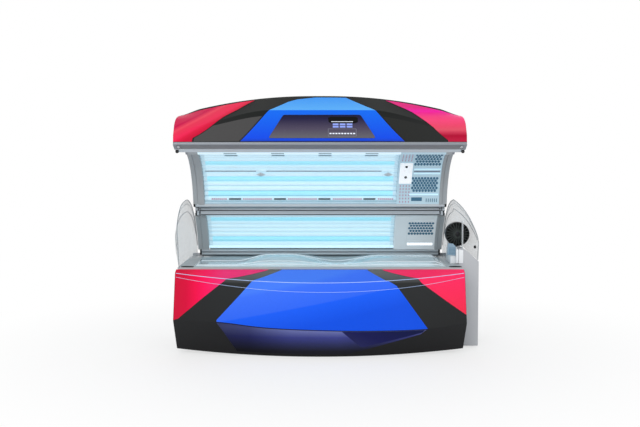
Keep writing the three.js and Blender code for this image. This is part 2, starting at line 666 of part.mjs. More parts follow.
const sideLampDegrees = Array.from({ length: SIDE_LAMPS }, (_, i) => SIDE_FROM_DEG + 3 + i * SIDE_LAMP_STEP);
add('side_acrylic', prismX(
  band(sideAt, SIDE_R, SIDE_R + PANE_THICK, SIDE_FROM_DEG, SIDE_TO_DEG), -PANE_HALF, HEAD_PANEL_X - SEAM,
));
add('side_lamp_bank', lampBank(sideAt, lampRing(SIDE_R), sideLampDegrees, -PANE_HALF, HEAD_PANEL_X - SEAM));
add('side_reflector', prismX(
  band(sideAt, reflectorR(SIDE_R), reflectorR(SIDE_R) + REFLECTOR_THICK, SIDE_FROM_DEG, SIDE_TO_DEG - 1),
  -PANE_HALF, HEAD_PANEL_X - SEAM,
));
add('side_speaker_panel', prismX(
  band(sideAt, SIDE_R - 2, SIDE_R + 22, SIDE_FROM_DEG, SIDE_TO_DEG), HEAD_PANEL_X, PANE_HALF,
));
const sideFrame = prismX(
  band(sideAt, SIDE_R - 5, SIDE_R + SIDE_FRAME_DEEP, SIDE_FROM_DEG, SIDE_TO_DEG),
  TUNNEL_HALF - FRAME_WIDTH, TUNNEL_HALF,
);
add('side_end_frame_right', sideFrame);
add('side_end_frame_left', mirrorX(sideFrame));
const hingeReach = ARM_X - 4 - FIT;
const upperStrip = [[-17, -50], [-3, -34], [-8, -12], [-22, -12], [-34, -32], [-32, -44]].map(
  ([y, z]) => [HINGE_Y + y, HINGE_Z + z],
);
add('side_upper_profile', join(
  prismX(upperStrip, -hingeReach, hingeReach),
  rodX(-hingeReach, hingeReach, HINGE_Y, HINGE_Z, LUG_R - 4, 20),
));
const sideFoot = sideAt(SIDE_R - 5, SIDE_FROM_DEG);
const sillFront = Math.floor(sideFoot[0] - 2);
const sillTop = Math.floor(sideFoot[1] - 8);
add('side_lower_profile', prismX(
  [[sillFront + 6, shelf], [DECK_REAR + 10 - FIT, shelf], [DECK_REAR, sillTop], [sillFront, sillTop]],
  -TUNNEL_HALF + 14, TUNNEL_HALF - 14,
));
const shellSpine = [
  [HINGE_Y + 70, HINGE_Z - 4], [HINGE_Y + 150, HINGE_Z - 50], [PAN_REAR - 107, HINGE_Z - 145],
  [PAN_REAR - 43, shelf + 120], [PAN_REAR - 15, shelf + FIT],
];
const shellOutline = [...shellSpine, ...shellSpine.map(([y, z]) => [y + 5, z + (z > shelf + 1 ? 3 : 0)]).reverse()];
add('side_rear_shell', prismX(shellOutline, -STRUT_X + 22, STRUT_X - 22));

// Canopy, drawn level about the hinge

const armBand = band(
  canopyAt, CANOPY_R + CANOPY_FRAME_DEEP + FIT, CANOPY_R + 112, -CANOPY_HALF_DEG, CANOPY_HALF_DEG,
);
const ribBand = band(
  canopyAt, reflectorR(CANOPY_R) + REFLECTOR_THICK + FIT, CANOPY_R + 112, -CANOPY_HALF_DEG, CANOPY_HALF_DEG,
);
const tailPoint = [
  TAIL_R * Math.cos(rad(TAIL_DEG + OPEN_DEG)),
  TAIL_R * Math.sin(rad(TAIL_DEG + OPEN_DEG)),
];
const eyeRing = (y, z, radius) => rodX(ARM_X, ARM_X + ARM_THICK, y, z, radius, 20);
const tailArm = prismX(
  [[-20, -14], [tailPoint[0] + 4, tailPoint[1] - 12], [tailPoint[0] - 6, tailPoint[1] + 12], [-30, 70], [-62, 62]],
  ARM_X, ARM_X + ARM_THICK,
);
const arm = cut(
  join(
    prismX(armBand, ARM_X, ARM_X + ARM_THICK),
    eyeRing(0, 0, LUG_R),
    eyeRing(tailPoint[0], tailPoint[1], 13),
    tailArm,
    prismX([[20, 4], [-2, 84], [-90, 96], [-60, 30], [-22, -10]], ARM_X, ARM_X + ARM_THICK),
    rodX(STRUT_X - STRUT_EYE_THICK, ARM_X + 1, tailPoint[0], tailPoint[1], STRUT_PIN_R),
  ),
  rodX(ARM_X - 1, ARM_X + ARM_THICK + 1, 0, 0, HINGE_PIN_R + FIT, 20),
);
const BEAM_TOP = 103;
const hingeBeam = box(-ARM_X - 1, ARM_X + 1, -46, -2, 36, BEAM_TOP);
const frontBeam = prismX(
  band(canopyAt, CANOPY_R + 80, CANOPY_R + 110, -CANOPY_HALF_DEG + 3, -CANOPY_HALF_DEG + 7, 2), -ARM_X - 1, ARM_X + 1,
);
addCanopy('canopy_frame', join(
  arm, mirrorX(arm), hingeBeam, frontBeam,
  prismX(ribBand, -10, 10),
));

addCanopy('canopy_acrylic', cut(
  prismX(
    band(canopyAt, CANOPY_R, CANOPY_R + PANE_THICK, -CANOPY_HALF_DEG, CANOPY_HALF_DEG),
    -PANE_HALF, HEAD_PANEL_X - SEAM,
  ),
  ...LOCK_X.map((x) => lockRod(x, CANOPY_R - 2, CANOPY_R + PANE_THICK + 2, LOCK_STEM_R + FIT)),
));
const canopyLampDegrees = Array.from(
  { length: CANOPY_LAMPS },
  (_, i) => (i - (CANOPY_LAMPS - 1) / 2) * CANOPY_LAMP_STEP,
);
addCanopy('canopy_lamp_bank', lampBank(
  canopyAt, lampRing(CANOPY_R), canopyLampDegrees, -PANE_HALF, HEAD_PANEL_X - SEAM,
));
addCanopy('canopy_reflector', prismX(
  band(canopyAt, reflectorR(CANOPY_R), reflectorR(CANOPY_R) + REFLECTOR_THICK, -CANOPY_HALF_DEG, CANOPY_HALF_DEG),
  -PANE_HALF, HEAD_PANEL_X - SEAM,
));

// Rod standing on the canopy arc, pointing away from the arc's centre
function arcRod(x, deg, r0, r1, radius, sides = 16) {
  const geometry = new THREE.CylinderGeometry(radius, radius, r1 - r0, sides);
  const [y, z] = canopyAt((r0 + r1) / 2, deg);
  return geometry.rotateX(Math.PI / 2).rotateX(rad(-deg)).translate(x, y, z);
}
function lockRod(x, r0, r1, radius) {
  return arcRod(x, LOCK_DEG, r0, r1, radius);
}
LOCK_X.forEach((x, i) => {
  const [y, z] = canopyAt(CANOPY_R - LOCK_AIR - 5, LOCK_DEG);
  const handle = new THREE.BoxGeometry(LOCK_R * 1.4, LOCK_R * 1.4, 10).rotateZ(Math.PI / 4);
  const knob = handle.scale(1.25, 0.8, 1).rotateX(rad(-LOCK_DEG)).translate(x, y, z);
  addCanopy(
    i === 0 ? 'pane_lock_left' : 'pane_lock_right',
    join(knob, lockRod(x, CANOPY_R - 6, CANOPY_R + PANE_THICK + 8, LOCK_STEM_R)),
  );
});

// Face tanner panel with two swivelling nozzles
const nozzleR = CANOPY_R - 4;
const nozzleSeats = NOZZLE_DEG.map((deg) => arcRod(NOZZLE_X, deg, CANOPY_R - 14, CANOPY_R + 60, NOZZLE_R + 5, 20));
const nozzleHoles = NOZZLE_DEG.map((deg) => arcRod(NOZZLE_X, deg, CANOPY_R - 30, CANOPY_R + 60, NOZZLE_R + FIT, 24));
addCanopy('face_tanner_panel', cut(
  prismX(band(canopyAt, CANOPY_R - 2, CANOPY_R + 25, -CANOPY_HALF_DEG, CANOPY_HALF_DEG), HEAD_PANEL_X, PANE_HALF),
  ...nozzleSeats,
));
addCanopy('nozzle_plate', cut(
  prismX(band(canopyAt, CANOPY_R - 8, CANOPY_R - 2 - FIT, -11, 11, 4), NOZZLE_X - 52, NOZZLE_X + 50),
  ...nozzleHoles,
));
NOZZLE_DEG.forEach((deg, i) => {
  const [y, z] = canopyAt(nozzleR, deg);
  const ball = new THREE.SphereGeometry(NOZZLE_R, 14, 8).rotateX(Math.PI / 2);
  const bore = new THREE.CylinderGeometry(5, 5, 40, 12).rotateX(Math.PI / 2).translate(0, 0, -16);
  const nozzle = cut(ball, bore).rotateX(rad(-deg)).translate(NOZZLE_X, y, z);
  addCanopy(`mist_nozzle_${i === 0 ? 'upper' : 'lower'}`, nozzle);
});

// Front cladding and roof of the canopy: rows in [half length, U, W] at the middle and at the ends
const RAIL_OVER = 88;
const RAIL_END = TUNNEL_HALF + RAIL_OVER;
const RAIL_TOP = -17;
const frameFoot = CANOPY_HALF_DEG + 0.04;
const crease = (t) => THREE.MathUtils.smoothstep(Math.abs(t), 0.34, 1.02);
const bow = (t) => t * t;
const blend = (middle, end, k) => middle.map((m, i) => m + (end[i] - m) * k);
const canopyFrontRows = [
  () => [RAIL_END, frontU + 102, RAIL_TOP + FIT],
  (t) => blend([RAIL_END - 7, frontU + 137, 305], [RAIL_END - 6, frontU + 90, 140], crease(t)),
  (t) => blend([RAIL_END - 40, frontU + 82, 532], [RAIL_END - 40, frontU + 9, 375], bow(t)),
];
function canopyGrid(rows, shift) {
  return rows.map((row) => columnT.map((t) => {
    const [half, u, w] = row(t);
    return [half * t, -(u + shift[0]), w + shift[1]];
  }));
}
const outward = (amount) => [amount, 0];
const canopySkin = (near, far) => sheet(
  canopyGrid(canopyFrontRows, outward(far)), canopyGrid(canopyFrontRows, outward(near)),
);
// Returns that close the cladding's ends back to the canopy's cheeks
const returnPlan = new THREE.Shape([
  [TUNNEL_HALF + FIT, 9], [TUNNEL_HALF + 62, 88], [TUNNEL_HALF + 50, 92], [TUNNEL_HALF + FIT, 25],
].map(([x, forward]) => new THREE.Vector2(x, -frontU - forward)));
const returnSweep = new THREE.ExtrudeGeometry(returnPlan, { depth: 500, bevelEnabled: false }).translate(0, 0, -60);
const fromFront = ([forward, w]) => level([frontU + forward, w]);
const returnSide = [[94, -14], [83, 142], [5, 366], [-9, 362], [5, -14]].map(fromFront);
const sideReturn = common(returnSweep, prismX([...returnSide].reverse(), TUNNEL_HALF - 30, TUNNEL_HALF + 90));
addCanopy('canopy_front_cladding', join(canopySkin(-CLAD_WALL, 0), sideReturn, mirrorX(sideReturn)));
const canopyDecor = canopySkin(DECOR_GAP, DECOR_GAP + DECOR_THICK);
const FIELD_RAIL = 1125;
const canopyField = (skin, outline) => common(
  skin, prismY(stretched(outline, RAIL_END / FIELD_RAIL).reverse(), -frontU - 309, -frontU + 91),
);
addCanopy('canopy_decor_blue', canopyField(canopyDecor, [
  [-608, -4], [-395, 306], [-250, 430], [-170, 478], [0, 506], [170, 490], [230, 470], [425, 306], [636, -4],
]));
const redField = [
  [-1140, -4], [-975, -4], [-970, 22], [-850, 130], [-730, 215], [-560, 350], [-520, 470], [-700, 560], [-1140, 560],
];
addCanopy('canopy_decor_red_left', canopyField(canopyDecor, redField));
addCanopy('canopy_decor_red_right', canopyField(canopyDecor, redField.map(([x, z]) => [-x, z]).reverse()));
const panelSkin = canopySkin(DECOR_GAP * 2 + DECOR_THICK, DECOR_GAP * 2 + DECOR_THICK + 4);
addCanopy('control_panel', canopyField(panelSkin, [[-392, 24], [-276, 262], [304, 262], [420, 24]]));

const roofRows = [
  (t) => blend([RAIL_END - 47, frontU + 67, 524], [RAIL_END - 47, frontU - 5, 368], bow(t)),
  (t) => blend([RAIL_END - 63, frontU - 131, 580], [RAIL_END - 63, frontU - 191, 424], bow(t)),
  (t) => blend([RAIL_END - 79, frontU - 391, 500], [RAIL_END - 79, frontU - 411, 362], bow(t)),
  (t) => blend([RAIL_END - 81, 60, 300], [RAIL_END - 81, 40, 220], bow(t)),
  (t) => blend([RAIL_END - 81, -62, 112], [RAIL_END - 81, -56, 104], bow(t)),
];
addCanopy('canopy_roof', join(
  sheet(canopyGrid(roofRows, [0, 0]), canopyGrid(roofRows, [-3, -7])),
  box(-ARM_X + 90, ARM_X - 90, -40, 60, BEAM_TOP + FIT, BEAM_TOP + FIT + 4),
));

// Aluminium front rail with rounded ends

const railOutline = [
  ...[[-7, -40], [79, -42], [101, -34], [107, -26], [105, RAIL_TOP], [8, RAIL_TOP]].map(fromFront),
  canopyAt(CANOPY_R - 4, -frameFoot),
];
const railRound = 14;
const railNose = -frontU - 107;
const railBack = -frontU + 11;
const railPlan = new THREE.Shape([
  [-RAIL_END, railBack], [-RAIL_END, railNose + railRound], [-RAIL_END + railRound, railNose],
  [RAIL_END - railRound, railNose], [RAIL_END, railNose + railRound], [RAIL_END, railBack],
].map(([x, y]) => new THREE.Vector2(x, y)));
const railSweep = new THREE.ExtrudeGeometry(railPlan, { depth: 60, bevelEnabled: false }).translate(0, 0, -60);
addCanopy('canopy_front_rail', common(
  prismX([...railOutline].reverse(), -RAIL_END, RAIL_END), railSweep,
));
const lowerStrip = [
  level([52, -22]), level([84, -44]), canopyAt(CANOPY_R - 4, frameFoot), canopyAt(CANOPY_R + 40, frameFoot), level([50, 2]),
];
addCanopy('canopy_lower_profile', prismX(lowerStrip, -TUNNEL_HALF + 20, TUNNEL_HALF - 20));

// End frames: lamp tunnel border with the cheek that closes the canopy's end
const CHEEK = 10;
const cheekOutline = [
  ...band(canopyAt, CANOPY_R + 40, CANOPY_R + 50, -CANOPY_HALF_DEG, CANOPY_HALF_DEG, 8).filter(
    ([y, z]) => Math.hypot(-y - CANOPY_U, z - CANOPY_W) < CANOPY_R + 45,
  ),
];
const cheekPath = [...cheekOutline].sort((a, b) => a[0] - b[0]);
const cheekTop = [
  ...[[-42, 97], [42, 204]].map(level),
  ...[[-412, 349], [-192, 411], [-19, 356], [-3, 120]].map(fromFront),
];
const endFrame = join(
  prismX(
    band(canopyAt, CANOPY_R - 5, CANOPY_R + CANOPY_FRAME_DEEP, -CANOPY_HALF_DEG, CANOPY_HALF_DEG),
    TUNNEL_HALF - FRAME_WIDTH, TUNNEL_HALF,
  ),
  prismX([...cheekPath, ...cheekTop], TUNNEL_HALF - CHEEK, TUNNEL_HALF),
);
addCanopy('canopy_end_frame_right', endFrame);
addCanopy('canopy_end_frame_left', mirrorX(endFrame));

// Gas springs: tube on the end plate's pin, rod on the canopy arm's pin
const tailOpen = [
  HINGE_Y + TAIL_R * Math.cos(rad(TAIL_DEG)),
  HINGE_Z + TAIL_R * Math.sin(rad(TAIL_DEG)),
];
const strutLong = Math.hypot(tailOpen[0] - STRUT_Y, tailOpen[1] - STRUT_Z);
const strutTilt = Math.atan2(tailOpen[1] - STRUT_Z, tailOpen[0] - STRUT_Y) - Math.PI / 2;
const strutEye = (z, radius) => rodX(STRUT_X - STRUT_EYE_THICK / 2, STRUT_X + STRUT_EYE_THICK / 2, 0, z, radius, 20);
const upright = (geometry) => geometry.rotateX(strutTilt).translate(0, STRUT_Y, STRUT_Z);
const tube = cut(
  join(strutEye(0, 13), rodZ(STRUT_X, 0, 8, STRUT_TUBE_LONG, STRUT_TUBE_R)),
  rodX(STRUT_X - 20, STRUT_X + 20, 0, 0, STRUT_PIN_R + FIT, 20),
  rodZ(STRUT_X, 0, 30, STRUT_TUBE_LONG + 1, STRUT_ROD_R + FIT),
);
const slotHalf = STRUT_SLOT / 2;
const slotReach = STRUT_PIN_R + 6;
const rodEye = cut(
  box(STRUT_X - 6, STRUT_X + 6, -slotHalf - 13, slotHalf + 13, strutLong - 16, strutLong + 20),
  box(STRUT_X - 7, STRUT_X + 7, -slotHalf - STRUT_PIN_R, slotHalf + STRUT_PIN_R,
    strutLong - slotReach, strutLong + slotReach),
);
const strutRod = join(rodEye, rodZ(STRUT_X, 0, 60, strutLong - 14, STRUT_ROD_R));
const tubeRight = upright(tube);
const rodRight = upright(strutRod);
add('strut_tube_right', tubeRight);
add('strut_rod_right', rodRight);
add('strut_tube_left', mirrorX(tubeRight));
add('strut_rod_left', mirrorX(rodRight));

// Origin at the middle of the footprint, on the floor
bed.updateMatrixWorld(true);
const extent = new THREE.Box3().setFromObject(bed, true);
const middle = extent.getCenter(new THREE.Vector3());
body.position.set(-middle.x, -middle.y, -extent.min.z);

export default bed;
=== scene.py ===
"""Clamshell tanning bed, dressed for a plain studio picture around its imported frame."""

import json
import logging
import math
from bisect import bisect_right
from dataclasses import dataclass, field
from enum import Enum
from typing import Callable, Optional, Sequence

import bmesh
import bpy
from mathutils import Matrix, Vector


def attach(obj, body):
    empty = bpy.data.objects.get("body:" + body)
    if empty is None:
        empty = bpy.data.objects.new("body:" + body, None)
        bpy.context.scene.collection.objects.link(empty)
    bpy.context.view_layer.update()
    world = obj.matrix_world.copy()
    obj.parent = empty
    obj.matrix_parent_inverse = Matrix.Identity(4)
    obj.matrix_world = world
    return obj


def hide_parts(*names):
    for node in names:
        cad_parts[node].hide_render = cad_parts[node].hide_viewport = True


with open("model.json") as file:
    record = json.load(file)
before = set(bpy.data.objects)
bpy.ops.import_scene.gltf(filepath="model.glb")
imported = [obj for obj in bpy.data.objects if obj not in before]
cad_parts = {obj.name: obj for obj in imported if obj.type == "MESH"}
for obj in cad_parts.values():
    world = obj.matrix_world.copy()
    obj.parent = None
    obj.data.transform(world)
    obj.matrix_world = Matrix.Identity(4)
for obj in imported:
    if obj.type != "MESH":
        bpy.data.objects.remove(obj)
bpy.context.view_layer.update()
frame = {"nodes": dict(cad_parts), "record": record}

LOG = logging.getLogger("tanning_bed")
MM = 0.001
# The drawing's origin in the frame, in mm.
SHIFT_X, SHIFT_Y = -63.4445, -358.62
# The canopy's hinge in the drawing, and how far the canopy stands open.
HINGE_Y, HINGE_Z = 570.0, 1090.0
OPEN = math.radians(45)
# Half the tunnel's length, the inner edge of its left frame, and its panes.
TUNNEL_HALF, FRAME_IN, PANE_HALF = 1037.0, 944.5, 944.2
# Where the head panels start and end, and where the panes meet them.
HEAD_X, HEAD_RIGHT = 626.0, 973.7
PANE_RIGHT = HEAD_X - 0.3
# Radius in mm at which a turned profile closes on its axis.
AXIS = 0.1
# Points nearer than this are one, in metres.
MERGE = 1e-6
# Edges sharper than this are rounded, or kept sharp in shading.
BEVEL_ANGLE, SHARP_ANGLE = math.radians(28), math.radians(32)

LONG = Vector((1, 0, 0))
INTO = Vector((0, 1, 0))
FRONT = Vector((0, -1, 0))
UP = Vector((0, 0, 1))

RGB = tuple[int, int, int]
Grid = Sequence[Sequence[Vector]]
Edge = Sequence[tuple[float, float]]
Span = tuple[float, float]
Size = tuple[float, float, float]
Row = Callable[[float], Size]
Shape = tuple[list[Vector], list[list[int]]]


class Body(Enum):
    """CAD bodies that a piece can ride on."""

    BASE = "base"
    CANOPY = "canopy"
    BENCH = "bench"
    LOCK_LEFT = "pane_lock_left"
    LOCK_RIGHT = "pane_lock_right"
    NOZZLE_UPPER = "mist_nozzle_upper"
    NOZZLE_LOWER = "mist_nozzle_lower"


class Grain(Enum):
    """Scale of the surface grain along X, Y and Z, per metre."""

    MOULDED = (420.0, 420.0, 420.0)
    LACQUER = (55.0, 55.0, 55.0)
    BRUSHED = (6.0, 900.0, 900.0)
    CAST = (14.0, 14.0, 14.0)
    RUBBER = (700.0, 700.0, 700.0)


def linear(rgb: RGB) -> tuple[float, float, float, float]:
    """Turns an sRGB colour of 0 to 255 into Blender's linear colour."""
    parts = [c / 255 for c in rgb]
    return (*[p / 12.92 if p <= 0.04045 else ((p + 0.055) / 1.055) ** 2.4 for p in parts], 1.0)


def place(x: float, y: float, z: float) -> Vector:
    """Point of the bed in metres, from the drawing's millimetres."""
    return Vector(((x + SHIFT_X) * MM, (y + SHIFT_Y) * MM, z * MM))


def place_level(x: float, u: float, w: float) -> Vector:
    """Point of the open canopy from its level drawing: u forward and w up from the hinge."""
    c, s = math.cos(OPEN), math.sin(OPEN)
    return place(x, HINGE_Y - u * c + w * s, HINGE_Z + u * s + w * c)


def lerp(a: float, b: float, k: float) -> float:
    """Value between a and b at share k."""
    return a + (b - a) * k


def spread(a: float, b: float, steps: int) -> list[float]:
    """Even values from a to b, both included."""
    return [lerp(a, b, i / steps) for i in range(steps + 1)]


def smoothstep(x: float, a: float, b: float) -> float:
    """Smooth step from 0 at a to 1 at b."""
    k = min(max((x - a) / (b - a), 0.0), 1.0)
    return k * k * (3 - 2 * k)


def along(edge: Edge, v: float) -> float:
    """Reads a broken line of (v, t) points.

    Args:
        edge: points in order of rising v.
        v: where to read it.
    Returns:
        The line's t at v, held at its ends.
    """
    if v <= edge[0][0]:
        return edge[0][1]
    for (v0, t0), (v1, t1) in zip(edge, edge[1:]):
        if v <= v1:
            return lerp(t0, t1, (v - v0) / max(v1 - v0, 1e-9))
    return edge[-1][1]


def spline(knots: Sequence[Sequence[float]], steps: int) -> list[list[float]]:
    """Catmull-Rom curve through knots of any dimension.

    Args:
        knots: the points that it passes through.
        steps: points for each stretch.
    Returns:
        The curve's points, ends included.
    """
    curve: list[list[float]] = []
    last = len(knots) - 1
    for i in range(last):
        p0, p1 = knots[max(i - 1, 0)], knots[i]
        p2, p3 = knots[i + 1], knots[min(i + 2, last)]
        for k in range(steps):
            s = k / steps
            curve.append([
                0.5 * (
                    2 * b + (c - a) * s
                    + (2 * a - 5 * b + 4 * c - d) * s * s
                    + (3 * b - a - 3 * c + d) * s ** 3
                )
                for a, b, c, d in zip(p0, p1, p2, p3)
            ])
    curve.append(list(knots[last]))
    return curve


def fill(node: bpy.types.Node, values: dict[str | int, object]) -> bpy.types.Node:
    """Sets a node's inputs, each to a value or to another node's output.

    Args:
        node: the node.
        values: what the inputs get, by their names or places.
    Returns:
        The node.
    """
    for key, value in values.items():
        if isinstance(value, bpy.types.NodeSocket):
            node.id_data.links.new(value, node.inputs[key])
        else:
            node.inputs[key].default_value = value
    return node


@dataclass(frozen=True)
class Fade:
    """Colour that changes along a direction of the bed, between two distances in metres."""

    axis: Size
    start: float
    end: float
    stops: tuple[tuple[float, RGB], ...]


@dataclass(frozen=True)
class Finish:
    """One surface finish, and the node material that shows it."""

    name: str
    colour: RGB
    slot: str
    rough: float = 0.4
    metal: float = 0.0
    coat: float = 0.0
    alpha: float = 1.0
    glow: float = 0.0
    grain: Grain = Grain.MOULDED
    mottle: float = 0.06
    bump: float = 0.08
    spec: float = 0.5
    fade: Optional[Fade] = None
    # Second fade that multiplies the colour: painted fall-off of light, used only by the lens.
    painted_falloff: Optional[Fade] = None
    rough_swing: float = 0.04
    bump_depth: float = 0.0006
    coat_rough: float = 0.06

    def material(self) -> bpy.types.Material:
        """Returns the finish's material, made on first use."""
        found = bpy.data.materials.get(self.name)
        return found if found else self._build()

    def _build(self) -> bpy.types.Material:
        """Builds the node tree: grain drives colour, roughness and bump on Object coordinates.

        Returns:
            The new material.
        """
        made = bpy.data.materials.new(self.name)
        made.use_nodes = True
        tree = made.node_tree
        new = tree.nodes.new
        coords = new("ShaderNodeTexCoord").outputs["Object"]
        mapping = fill(new("ShaderNodeMapping"), {"Vector": coords, "Scale": self.grain.value})
        noise = fill(new("ShaderNodeTexNoise"), {
            "Vector": mapping.outputs["Vector"], "Scale": 1.0, "Detail": 3.0,
        })
        grain = noise.outputs["Fac"]
        rough = fill(new("ShaderNodeMapRange"), {
            "Value": grain,
            "To Min": max(self.rough - self.rough_swing, 0.02),
            "To Max": min(self.rough + self.rough_swing, 1.0),
        })
        bump = fill(new("ShaderNodeBump"), {
            "Height": grain, "Strength": self.bump, "Distance": self.bump_depth,
        })
        fill(tree.nodes["Principled BSDF"], {
            "Base Color": self._colour(tree, coords, grain), "Roughness": rough.outputs["Result"],
            "Normal": bump.outputs["Normal"], "Metallic": self.metal, "Specular IOR Level": self.spec,
            "Coat Weight": self.coat, "Coat Roughness": self.coat_rough, "Alpha": self.alpha,
            "Emission Strength": self.glow, "Emission Color": linear(self.colour),
        })
        return made

    def _colour(
        self, tree: bpy.types.NodeTree, coords: bpy.types.NodeSocket, grain: bpy.types.NodeSocket
    ) -> bpy.types.NodeSocket:
        """Adds the base colour: the plain colour or the fade, darkened a little by the grain and by the
        painted fall-off of light where one is given.

        Args:
            tree: the material's nodes.
            coords: the Object coordinates.
            grain: the noise.
        Returns:
            The colour.
        """
        shade = fill(tree.nodes.new("ShaderNodeMapRange"), {
            "Value": grain, "To Min": 1.0 - self.mottle, "To Max": 1.0 + self.mottle,
        })
        plain = self._ramp(tree, coords, self.fade) if self.fade else linear(self.colour)
        colour = self._multiply(tree, plain, shade.outputs["Result"])
        return self._multiply(tree, colour, self._ramp(tree, coords, self.painted_falloff)) if self.painted_falloff else colour

    @staticmethod
    def _multiply(tree: bpy.types.NodeTree, first: object, second: object) -> bpy.types.NodeSocket:
        """Adds a node that multiplies two colours.

        Args:
            tree: the material's nodes.
            first: a colour, or a node's output.
            second: another.
        Returns:
            The product.
        """
        mix = tree.nodes.new("ShaderNodeMix")
        mix.data_type, mix.blend_type = "RGBA", "MULTIPLY"
        places = [i for i, socket in enumerate(mix.inputs) if socket.type == "RGBA"]
        fill(mix, {"Factor": 1.0, **dict(zip(places, (first, second)))})
        return next(socket for socket in mix.outputs if socket.type == "RGBA")

    @staticmethod
    def _ramp(
        tree: bpy.types.NodeTree, coords: bpy.types.NodeSocket, fade: Fade
    ) -> bpy.types.NodeSocket:
        """Adds a colour ramp along a direction.

        Args:
            tree: the material's nodes.
            coords: the Object coordinates.
            fade: the direction and its colours.
        Returns:
            The ramp's colour.
        """
        dot = tree.nodes.new("ShaderNodeVectorMath")
        dot.operation = "DOT_PRODUCT"
        fill(dot, {0: coords, 1: fade.axis})
        span = fill(tree.nodes.new("ShaderNodeMapRange"), {
            "Value": dot.outputs["Value"], "From Min": fade.start, "From Max": fade.end,
        })
        ramp = fill(tree.nodes.new("ShaderNodeValToRGB"), {"Fac": span.outputs["Result"]})
        stops = ramp.color_ramp.elements
        while len(stops) < len(fade.stops):
            stops.new(0.5)
        for stop, (at, rgb) in zip(stops, fade.stops):
            stop.position = at
            stop.color = linear(rgb)
        return ramp.outputs["Color"]


# Gloss of the lacquers: plain, and for panels that face the sky.
FLAT, DULL = 0.16, 0.05


def upright(start: float, end: float, *stops: tuple[float, RGB]) -> Fade:
    """Fade that rises from start to end."""
    return Fade((0.0, 0.0, 1.0), start, end, stops)


def endwise(start: float, end: float, *stops: tuple[float, RGB]) -> Fade:
    """Fade that runs along the bed from start to end."""
    return Fade((1.0, 0.0, 0.0), start, end, stops)


def black_lacquer(name: str, colour: RGB, spec: float, fade: Optional[Fade] = None) -> Finish:
    """Black or graphite lacquer of the claddings."""
    return Finish(name, colour, "black_gloss", 0.36, grain=Grain.LACQUER, spec=spec, fade=fade)


def colour_lacquer(
    name: str, colour: RGB, slot: str, fade: Fade, spec: float = FLAT, painted_falloff: Optional[Fade] = None
) -> Finish:
    """Coloured lacquer that fades over its panel; on several panels the fade also holds painted highlight
    and painted shade.
    """
    return Finish(
        name, colour, slot, 0.34, grain=Grain.LACQUER, mottle=0.03, spec=spec, fade=fade, painted_falloff=painted_falloff
    )


# Graphite lacquer of the base cladding and the roof. Its fade paints everything above about 0.6 m lighter,
# as a painted highlight on the base front's upper bevel. The roof, higher up, takes that light grey all
# over.
DARK_LIT_TOP = black_lacquer("dark_lacquer_lit_top", (36, 37, 38), FLAT, upright(
    0.05, 0.65,
    (0.0, (32, 32, 33)), (0.86, (38, 40, 41)), (0.92, (84, 86, 87)), (1.0, (102, 103, 103)),
))
CANOPY_DARK = black_lacquer(
    "canopy_dark_lacquer", (24, 25, 25), DULL, upright(1.7, 1.92, (0.0, (44, 45, 45)), (1.0, (30, 32, 31))),
)
GREY = black_lacquer("graphite_lacquer", (72, 71, 71), FLAT)
GREY_RIGHT = black_lacquer("graphite_lacquer_right", (44, 45, 44), DULL)
# Blue lacquer of the base's panel. The fade paints its upper part lighter, with a step along a faint
# diagonal line, as a painted highlight of the upper bevel.
BLUE_LIT_TOP = colour_lacquer("blue_lacquer_lit_top", (36, 97, 247), "blue_gloss", Fade((-0.198, 0.0, 1.0), 0.2826, 0.62, (
    (0.0, (0, 80, 228)), (0.44, (16, 94, 246)), (0.47, (46, 104, 246)), (0.9, (58, 114, 250)),
    (1.0, (68, 126, 250)),
)))
CANOPY_BLUE = colour_lacquer("canopy_blue_lacquer", (6, 110, 244), "blue_gloss", upright(
    1.63, 1.89, (0.0, (24, 56, 166)), (0.16, (2, 74, 232)), (1.0, (2, 108, 242)),
))
SKY = colour_lacquer("sky_lacquer", (72, 172, 255), "blue_gloss", upright(
    1.88, 2.0, (0.0, (84, 178, 252)), (1.0, (46, 152, 250)),
))
RED = colour_lacquer("red_lacquer", (226, 8, 76), "red_gloss", endwise(
    -1.2, -0.8,
    (0.0, (208, 12, 54)), (0.26, (220, 0, 58)), (0.44, (244, 0, 72)), (0.63, (254, 8, 90)),
    (1.0, (246, 42, 116)),
))
RED_RIGHT = colour_lacquer("red_lacquer_right", (226, 40, 92), "red_gloss", upright(
    0.28, 0.655, (0.0, (246, 46, 72)), (0.5, (255, 40, 88)), (1.0, (255, 40, 100)),
))
# Pink-red print of the canopy's left panel, fading across it. It also carries a painted highlight band over
# its bulge and painted shade at its lower end and along its upper edge.
CANOPY_RED_LEFT_LIT = colour_lacquer(
    "canopy_red_lacquer_left_painted_light", (234, 36, 92), "red_gloss", Fade((-0.6, 0.0, 1.0), 2.31, 2.48, (
        (0.0, (210, 22, 60)), (0.18, (226, 30, 68)), (0.33, (244, 44, 88)), (0.6, (238, 56, 88)),
        (0.72, (242, 74, 98)), (0.82, (226, 52, 88)), (0.92, (206, 24, 80)), (1.0, (212, 44, 86)),
    )), DULL,
)
# Red-to-pink print of the canopy's right panel, with painted shade low down and a painted magenta highlight
# near its top.
CANOPY_RED_RIGHT_LIT = colour_lacquer("canopy_red_lacquer_right_painted_light", (234, 36, 92), "red_gloss", upright(
    1.66, 1.92,
    (0.0, (190, 30, 64)), (0.115, (178, 14, 52)), (0.2, (206, 52, 82)), (0.29, (230, 84, 106)),
    (0.4, (242, 74, 108)), (0.58, (255, 72, 126)), (0.7, (252, 64, 132)), (0.815, (248, 30, 146)),
    (0.873, (252, 22, 168)), (1.0, (232, 40, 130)),
), DULL)
